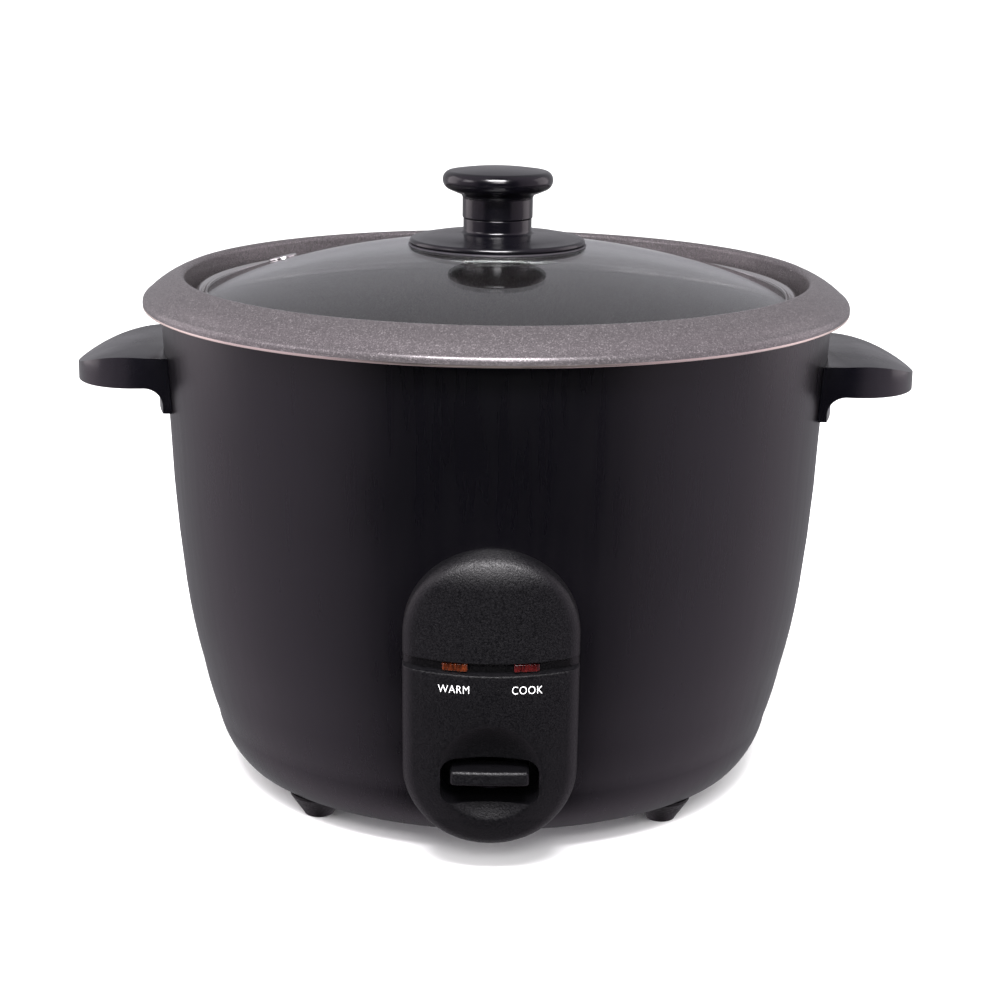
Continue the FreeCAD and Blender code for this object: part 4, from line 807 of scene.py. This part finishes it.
def build_labels():
    """Plain function words under the lenses, printed on the panel's face."""
    for word, side in (("WARM", -1), ("COOK", 1)):
        curve = bpy.data.curves.new("label_" + word.lower(), "FONT")
        curve.body = word
        curve.align_x = "CENTER"
        curve.size = LABEL_SIZE * MM
        curve.space_character = 1.08
        curve.extrude = INK * MM
        curve.offset = -STROKE_TRIM * MM
        text = new_object("label_text", curve)
        graph = bpy.context.evaluated_depsgraph_get()
        mesh = bpy.data.meshes.new_from_object(text.evaluated_get(graph))
        bpy.data.objects.remove(text)
        for vert in mesh.vertices:
            x = side * LABEL_X + vert.co.x / MM * LABEL_NARROWING
            z = LABEL_Z + vert.co.y / MM
            lift = LABEL_LIFT + vert.co.z / MM
            vert.co = Vector((x, face_y(x, z) - lift, z)) * MM
        label = new_object("label_" + word.lower() + "_print", mesh)
        settle(label, "cooker", LABEL, "panel_plastic")


KEY_EDGE_R = 1.3
KEY_BOW = 0.5
KEY_DIP = 0.5
# A dark plate inside the drum's window behind the key: painted shade that blocks the glints seen through the
# slot beside the key.
SHADE_SHEET = ((-20, -110.8, 29.5), (20, -109.4, 46))


def build_key():
    """The cook key, a rounded tongue with a shallow finger hollow, and behind it a dark plate of painted
    shade that hides the glints beside the key.
    """
    low, high = node_box("lever_key")
    key = rounded_box("lever_key_visual", low, high, KEY_EDGE_R, segments=5)
    grid = key.modifiers.new("subdivide", "SUBSURF")
    grid.subdivision_type = "SIMPLE"
    grid.levels = 2
    bake_modifiers(key)
    half = (high[0] - low[0]) / 2
    for vert in key.data.vertices:
        x = vert.co.x / MM / half
        if vert.co.y / MM < low[1] + 4:
            vert.co.y += KEY_BOW * x * x * MM
        if vert.co.z / MM > high[2] - 1.5:
            dip = KEY_DIP * (1 - x * x) * blend_step(vert.co.y / MM, low[1] + 1.5, low[1] + 4)
            vert.co.z -= dip * MM
    smooth(key, 50)
    settle(key, "lever", PANEL, "panel_plastic", "lever_key")
    # Painted shade: a dark plate behind the key that hides the glints through the slot.
    shade_sheet = rounded_box("lever_shade_sheet", *SHADE_SHEET, 0.5)
    smooth(shade_sheet, 40)
    return settle(shade_sheet, "lever", PANEL, "panel_plastic")


# ---------------------------------------------------------------------------
# Handles and feet
# ---------------------------------------------------------------------------
HANDLE_CENTRE = 134.8
HANDLE_REACH = 37.0
HANDLE_HALF = 40.0
HANDLE_ROOT = 24.0
HANDLE_TOP = 179.2
HANDLE_TIP_DROP = 9.0
HANDLE_CROWN_R = 57.9
HANDLE_UNDER = 167.0
HANDLE_LOW = 157
HANDLE_ROOT_R = 137.6
ROOT_FILLET = 7.0
HANDLE_ROUNDING = 2.0


def handle_plan():
    """Half an oval seen from above, with a straight root inside the drum."""
    root_x = HANDLE_CENTRE - HANDLE_ROOT
    oval = [(HANDLE_CENTRE + HANDLE_REACH * math.cos(math.radians(angle)),
             HANDLE_HALF * math.sin(math.radians(angle))) for angle in range(-90, 91, 3)]
    return [(root_x, -HANDLE_HALF)] + oval + [(root_x, HANDLE_HALF)]


def build_handle(name, side):
    """A side handle: crowned on top, hollowed under the grip and fitted to the drum's wall."""
    tip = HANDLE_CENTRE + HANDLE_REACH
    handle = prism(name + "_visual", handle_plan(), 150, 190, "XY")
    side_view = profile(
        (100, HANDLE_LOW), (tip + 2, HANDLE_LOW), (tip + 2, HANDLE_TOP - HANDLE_TIP_DROP),
        (HANDLE_CENTRE + 8, HANDLE_TOP, HANDLE_CROWN_R, "left"), (100, HANDLE_TOP), step=math.radians(3))
    carve(handle, prism("side_cutter", side_view, -60, 60, "XZ"), "INTERSECT")
    carve(handle, lathe("underside_cutter", profile(
        (HANDLE_ROOT_R, 150), (tip + 6, 150), (tip + 6, HANDLE_UNDER - 2.4),
        (HANDLE_ROOT_R + ROOT_FILLET, HANDLE_UNDER),
        (HANDLE_ROOT_R, HANDLE_UNDER - ROOT_FILLET, ROOT_FILLET, "left"), step=math.radians(8))))
    wall = [(drum_radius(z) + 0.12, z) for z in range(150, 192, 2)]
    drum_side = [(0, 148), (wall[0][0], 148)] + wall + [(wall[-1][0], 192), (0, 192)]
    carve(handle, lathe("drum_cutter", drum_side))
    rounding = handle.modifiers.new("round", "BEVEL")
    rounding.width = HANDLE_ROUNDING * MM
    rounding.segments = 4
    rounding.limit_method = "ANGLE"
    rounding.angle_limit = math.radians(35)
    bake_modifiers(handle)
    if side < 0:
        handle.data.transform(Matrix.Rotation(math.pi, 4, "Z"))
    smooth(handle, 60)
    return settle(handle, "cooker", BAKELITE, "bakelite", name)


def build_feet():
    """Four tapered feet with rounded pads."""
    for name in ("foot_front_left", "foot_front_right", "foot_rear_left", "foot_rear_right"):
        low, high = node_box(name)
        centre = Vector((low[0] + high[0], low[1] + high[1], 0)) / 2
        top_r = (high[0] - low[0]) / 2
        top = high[2]
        foot = lathe(name + "_visual", profile(
            (0, 0), (4.9, 0), (6.1, 1.0, 1.2, "left"), (top_r - 0.3, top - 1.4),
            (top_r, top - 0.6, 1.0, "left"), (top_r, top), (0, top)), segments=64)
        foot.data.transform(Matrix.Translation(centre * MM))
        settle(foot, "cooker", FOOT, "foot_plastic", name)


# ---------------------------------------------------------------------------
# Stage: floor, light and camera
# ---------------------------------------------------------------------------
def build_floor():
    """A wide white table that gloss doesn't pick up."""
    shape = bmesh.new()
    bmesh.ops.create_grid(shape, x_segments=8, y_segments=8, size=6.0)
    floor = from_bmesh("floor", shape)
    finish = Finish("floor_white", (0.96, 0.96, 0.96), 0.8)
    finish.color(finish.ramp(finish.noise(2.0, 1), (0.0, (0.955, 0.955, 0.955)), (1.0, (0.97, 0.97, 0.97))))
    floor.data.materials.append(finish.material)
    floor.visible_glossy = False


def soft_light(name, place, aim, width, height, power, color):
    """A rectangular soft box at a place, turned towards an aim, all in metres."""
    data = bpy.data.lights.new(name, "AREA")
    data.shape = "RECTANGLE"
    data.size = width
    data.size_y = height
    data.energy = power
    data.color = color
    lamp = bpy.data.objects.new(name, data)
    lamp.location = place
    lamp.rotation_euler = (Vector(aim) - Vector(place)).to_track_quat("-Z", "Y").to_euler()
    bpy.context.scene.collection.objects.link(lamp)


# Brightness of the white set, and the colours that gloss picks up from the front (0) to the back (1).
BACKDROP = 1.6
SET_COLORS = ((0.09, (0.012, 0.011, 0.016)), (0.20, (0.46, 0.39, 0.46)), (0.40, (0.64, 0.55, 0.65)),
              (0.66, (0.66, 0.57, 0.66)), (0.95, (0.41, 0.40, 0.43)))


def build_world():
    """A white set. What gloss picks up is pale at the sides and behind, and dark round the viewpoint."""
    world = bpy.data.worlds.new("studio")
    bpy.context.scene.world = world
    world.use_nodes = True
    tree = world.node_tree
    background = tree.nodes["Background"]
    path = tree.nodes.new("ShaderNodeLightPath")
    sky = tree.nodes.new("ShaderNodeTexCoord")
    level = tree.nodes.new("ShaderNodeVectorMath")
    level.operation = "MULTIPLY"
    level.inputs[1].default_value = (1, 1, 0)
    tree.links.new(sky.outputs["Generated"], level.inputs[0])
    heading = tree.nodes.new("ShaderNodeVectorMath")
    heading.operation = "NORMALIZE"
    tree.links.new(level.outputs["Vector"], heading.inputs[0])
    split = tree.nodes.new("ShaderNodeSeparateXYZ")
    tree.links.new(heading.outputs["Vector"], split.inputs["Vector"])
    around = color_ramp(tree, SET_COLORS)
    around.color_ramp.interpolation = "EASE"
    share = tree.nodes.new("ShaderNodeMapRange")
    share.inputs["From Min"].default_value = -1.0
    tree.links.new(split.outputs["Y"], share.inputs["Value"])
    tree.links.new(share.outputs["Result"], around.inputs["Fac"])
    choose = tree.nodes.new("ShaderNodeMix")
    choose.data_type = "RGBA"
    choose.inputs["A"].default_value = (BACKDROP, BACKDROP, BACKDROP, 1)
    tree.links.new(path.outputs["Is Glossy Ray"], choose.inputs["Factor"])
    tree.links.new(around.outputs["Color"], choose.inputs["B"])
    tree.links.new(choose.outputs["Result"], background.inputs["Color"])


BODY_MIDDLE = (0, 0, 0.12)
ROSE_WHITE = (1, 0.92, 0.95)
SOFT_WHITE = (1, 0.97, 1)


def build_lights():
    """Two long boxes behind for the drum's edges, and three in front for the tops and the lid."""
    soft_light("back_left", (-1.0, 0.35, 0.45), BODY_MIDDLE, 0.7, 0.9, 2.5, ROSE_WHITE)
    soft_light("back_right", (1.0, 0.35, 0.45), BODY_MIDDLE, 0.7, 0.9, 2.0, ROSE_WHITE)
    soft_light("front_top", (-0.05, -0.85, 1.2), BODY_MIDDLE, 0.7, 0.3, 38, SOFT_WHITE)
    soft_light("front_low", (0.05, -1.2, 0.78), BODY_MIDDLE, 0.5, 0.2, 6, SOFT_WHITE)
    soft_light("front_left", (-1.2, -0.5, 0.8), (0, 0, 0.15), 0.5, 0.5, 3, (1, 0.95, 0.98))


CAMERA_PLACE = (0.0025, -0.850, 0.337)
CAMERA_LENS = 75.2
CAMERA_DOWN = 14.77
CAMERA_ROLL = 0.75


def build_camera():
    """The viewpoint: slightly above the lid, looking down at the front."""
    data = bpy.data.cameras.new("camera")
    data.sensor_width = 36.0
    data.lens = CAMERA_LENS
    camera = bpy.data.objects.new("camera", data)
    camera.location = CAMERA_PLACE
    pitch = Matrix.Rotation(math.radians(90 - CAMERA_DOWN), 4, "X")
    roll = Matrix.Rotation(math.radians(CAMERA_ROLL), 4, "Z")
    camera.rotation_euler = (pitch @ roll).to_euler()
    bpy.context.scene.collection.objects.link(camera)
    bpy.context.scene.camera = camera


def main():
    """Dress the CAD nodes, set the stage, then build each visual piece."""
    finish_cad_nodes()
    build_camera()
    build_world()
    build_lights()
    build_floor()
    build_drum()
    build_pot()
    build_glass()
    build_lid_rim()
    build_knob()
    build_panel()
    build_lenses()
    build_labels()
    build_key()
    build_handle("handle_right", 1)
    build_handle("handle_left", -1)
    build_feet()
    bpy.context.scene.view_settings.view_transform = "Standard"


main()
